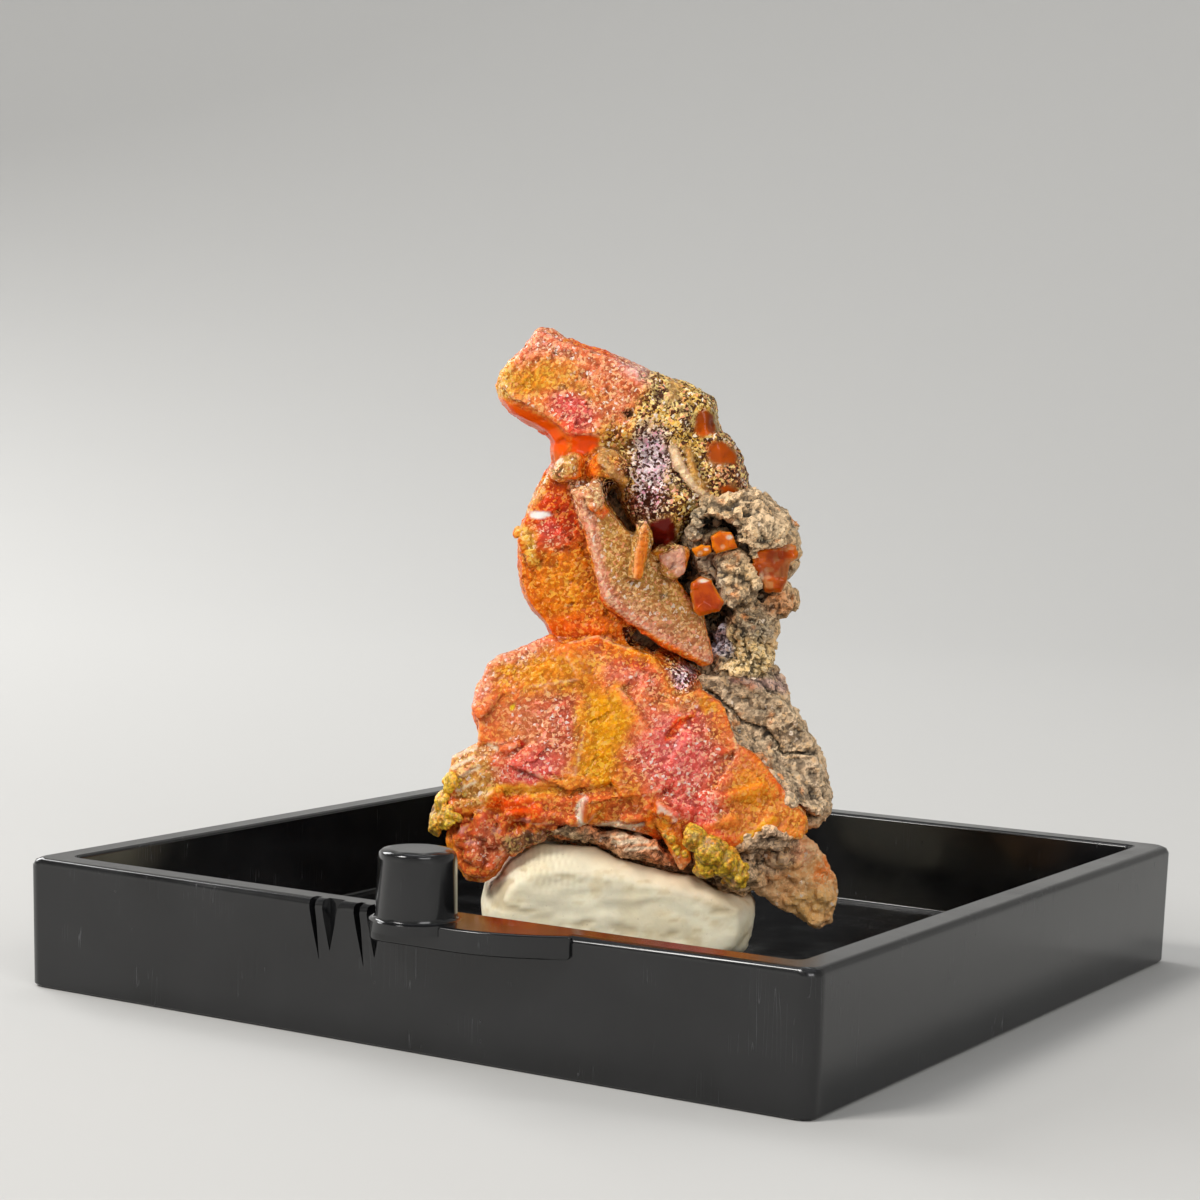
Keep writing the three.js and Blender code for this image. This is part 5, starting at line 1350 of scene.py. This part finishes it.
def tray():
    """The box base: the solid's own shape with smooth rounded corners."""
    ob = merged("box_base", [node_shape("display_tray")])
    ob.data.transform(TO_FRAME)
    ob.data.transform(Matrix.Scale(1 / MM, 4))
    bm = bmesh.new()
    bm.from_mesh(ob.data)
    bmesh.ops.dissolve_limit(bm, angle_limit=math.radians(0.4), verts=bm.verts, edges=bm.edges)
    bmesh.ops.triangulate(bm, faces=bm.faces)
    bm.to_mesh(ob.data)
    bm.free()
    ob.data.set_sharp_from_angle(angle=math.radians(48))
    even = ob.modifiers.new("even", "WEIGHTED_NORMAL")
    even.keep_sharp, even.weight = True, 100
    mesh = evaluated(ob)
    mesh.transform(Matrix.Scale(MM, 4))
    mesh.materials.clear()
    mesh.materials.append(PLASTIC)
    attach(ob, "root")
    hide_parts("display_tray")


# ---------------------------------------------------------------- stage

def stage():
    """A pale studio floor that sweeps up into a wall all round."""
    profile = path(0.12, 0, 0.3, 0)
    profile += [(0.3 + 0.6 * math.sin(a), 0.6 - 0.6 * math.cos(a))
                for a in (math.pi / 2 * n / 20 for n in range(1, 21))]
    profile += path(0.9, 0.9, 0.9, 1.4)
    sides = 96
    verts = [(r * math.cos(2 * math.pi * n / sides), r * math.sin(2 * math.pi * n / sides), z)
             for r, z in profile for n in range(sides)] + [(0, 0, 0)]
    middle = [(len(verts) - 1, n, (n + 1) % sides) for n in range(sides)]
    mesh = bpy.data.meshes.new("floor")
    mesh.from_pydata(verts, [], middle + stacked(len(profile), sides)[2:])
    mesh.polygons.foreach_set("use_smooth", [True] * len(mesh.polygons))
    mesh.materials.append(Nodes("pale floor").set(Base__Color=(0.55, 0.545, 0.53, 1), Roughness=0.85))
    floor = bpy.data.objects.new("floor", mesh)
    bpy.context.scene.collection.objects.link(floor)
    world = bpy.data.worlds.new("studio")
    bpy.context.scene.world = world
    world.use_nodes = True
    sky = world.node_tree.nodes["Background"].inputs
    sky["Color"].default_value = (0.95, 0.97, 1.0, 1)
    sky["Strength"].default_value = 0.5


def lamp(name, place, size, power, colour=(1, 1, 1), aim=(0, 0, 0.022)):
    """A soft square lamp, aimed at the specimen unless told otherwise."""
    data = bpy.data.lights.new(name, "AREA")
    data.size, data.energy, data.color = size, power, colour
    ob = bpy.data.objects.new(name, data)
    along = Vector(aim) - Vector(place)
    ob.matrix_world = Matrix.Translation(place) @ along.to_track_quat("-Z", "Y").to_matrix().to_4x4()
    ob.visible_camera = False
    bpy.context.scene.collection.objects.link(ob)


# ---------------------------------------------------------------- the scene

WULFENITE = grained_material("wulfenite", size=0.18, accent=(1.0, 0.5, 0.7), glints=0.16, relief=0,
                             bare=0.1, coated=0.3, IOR=1.6, Specular__IOR__Level=0.12,
                             Subsurface__Weight=0.15, Subsurface__Radius=(1.0, 0.35, 0.05),
                             Subsurface__Scale=0.6 * MM)
ROCK = grained_material("matrix rock", size=0.22, accent=(0.95, 0.8, 0.6), glints=0.04, relief=0.45,
                        bare=0.85, coated=0.5, IOR=1.5, Specular__IOR__Level=0.3)
CLEAR = seated_material("clear wulfenite", 0.12)
MIMETITE = crust_material("mimetite")
PUTTY = putty_material("mineral tack")
PLASTIC = plastic_material("black polystyrene")

camera()
stage()
lamp("key", (-0.22, -0.42, 0.46), 0.2, 3.0, (1.0, 0.98, 0.95))
lamp("fill", (0.45, -0.3, 0.3), 0.3, 1.2)
lamp("rim", (-0.45, 0.1, 0.3), 0.25, 1.5)
lamp("wall", (-0.15, 0.25, 0.6), 0.3, 0.9, aim=(-0.45, 0.75, 0.05))
crystal_cluster()
rock()
seated("red_crystal", "red_wulfenite", 0.08, 401)
for place, grain, seed in (("low", 0.05, 411), ("mid", 0.05, 421), ("small", 0.04, 431)):
    seated(f"orange_crystal_{place}", "clear_wulfenite", grain, seed)
for number in range(1, 5):
    seated(f"back_crystal_{number}", "clear_wulfenite", 0.07, 431 + 10 * number)
crust("mimetite_crust_left", 110, 501, path(-11.6, 13.6, -11.2, 14.4, -11.9, 14.4, -11.4, 12.8))
crust("mimetite_crust_low", 120, 511, path(1.9, 10.5, 2.3, 10.1, 2.8, 9.8, 3.2, 9.6, 3.5, 9.2))
small_plates()
putty()
tray()

bpy.context.scene.view_settings.view_transform = "Standard"
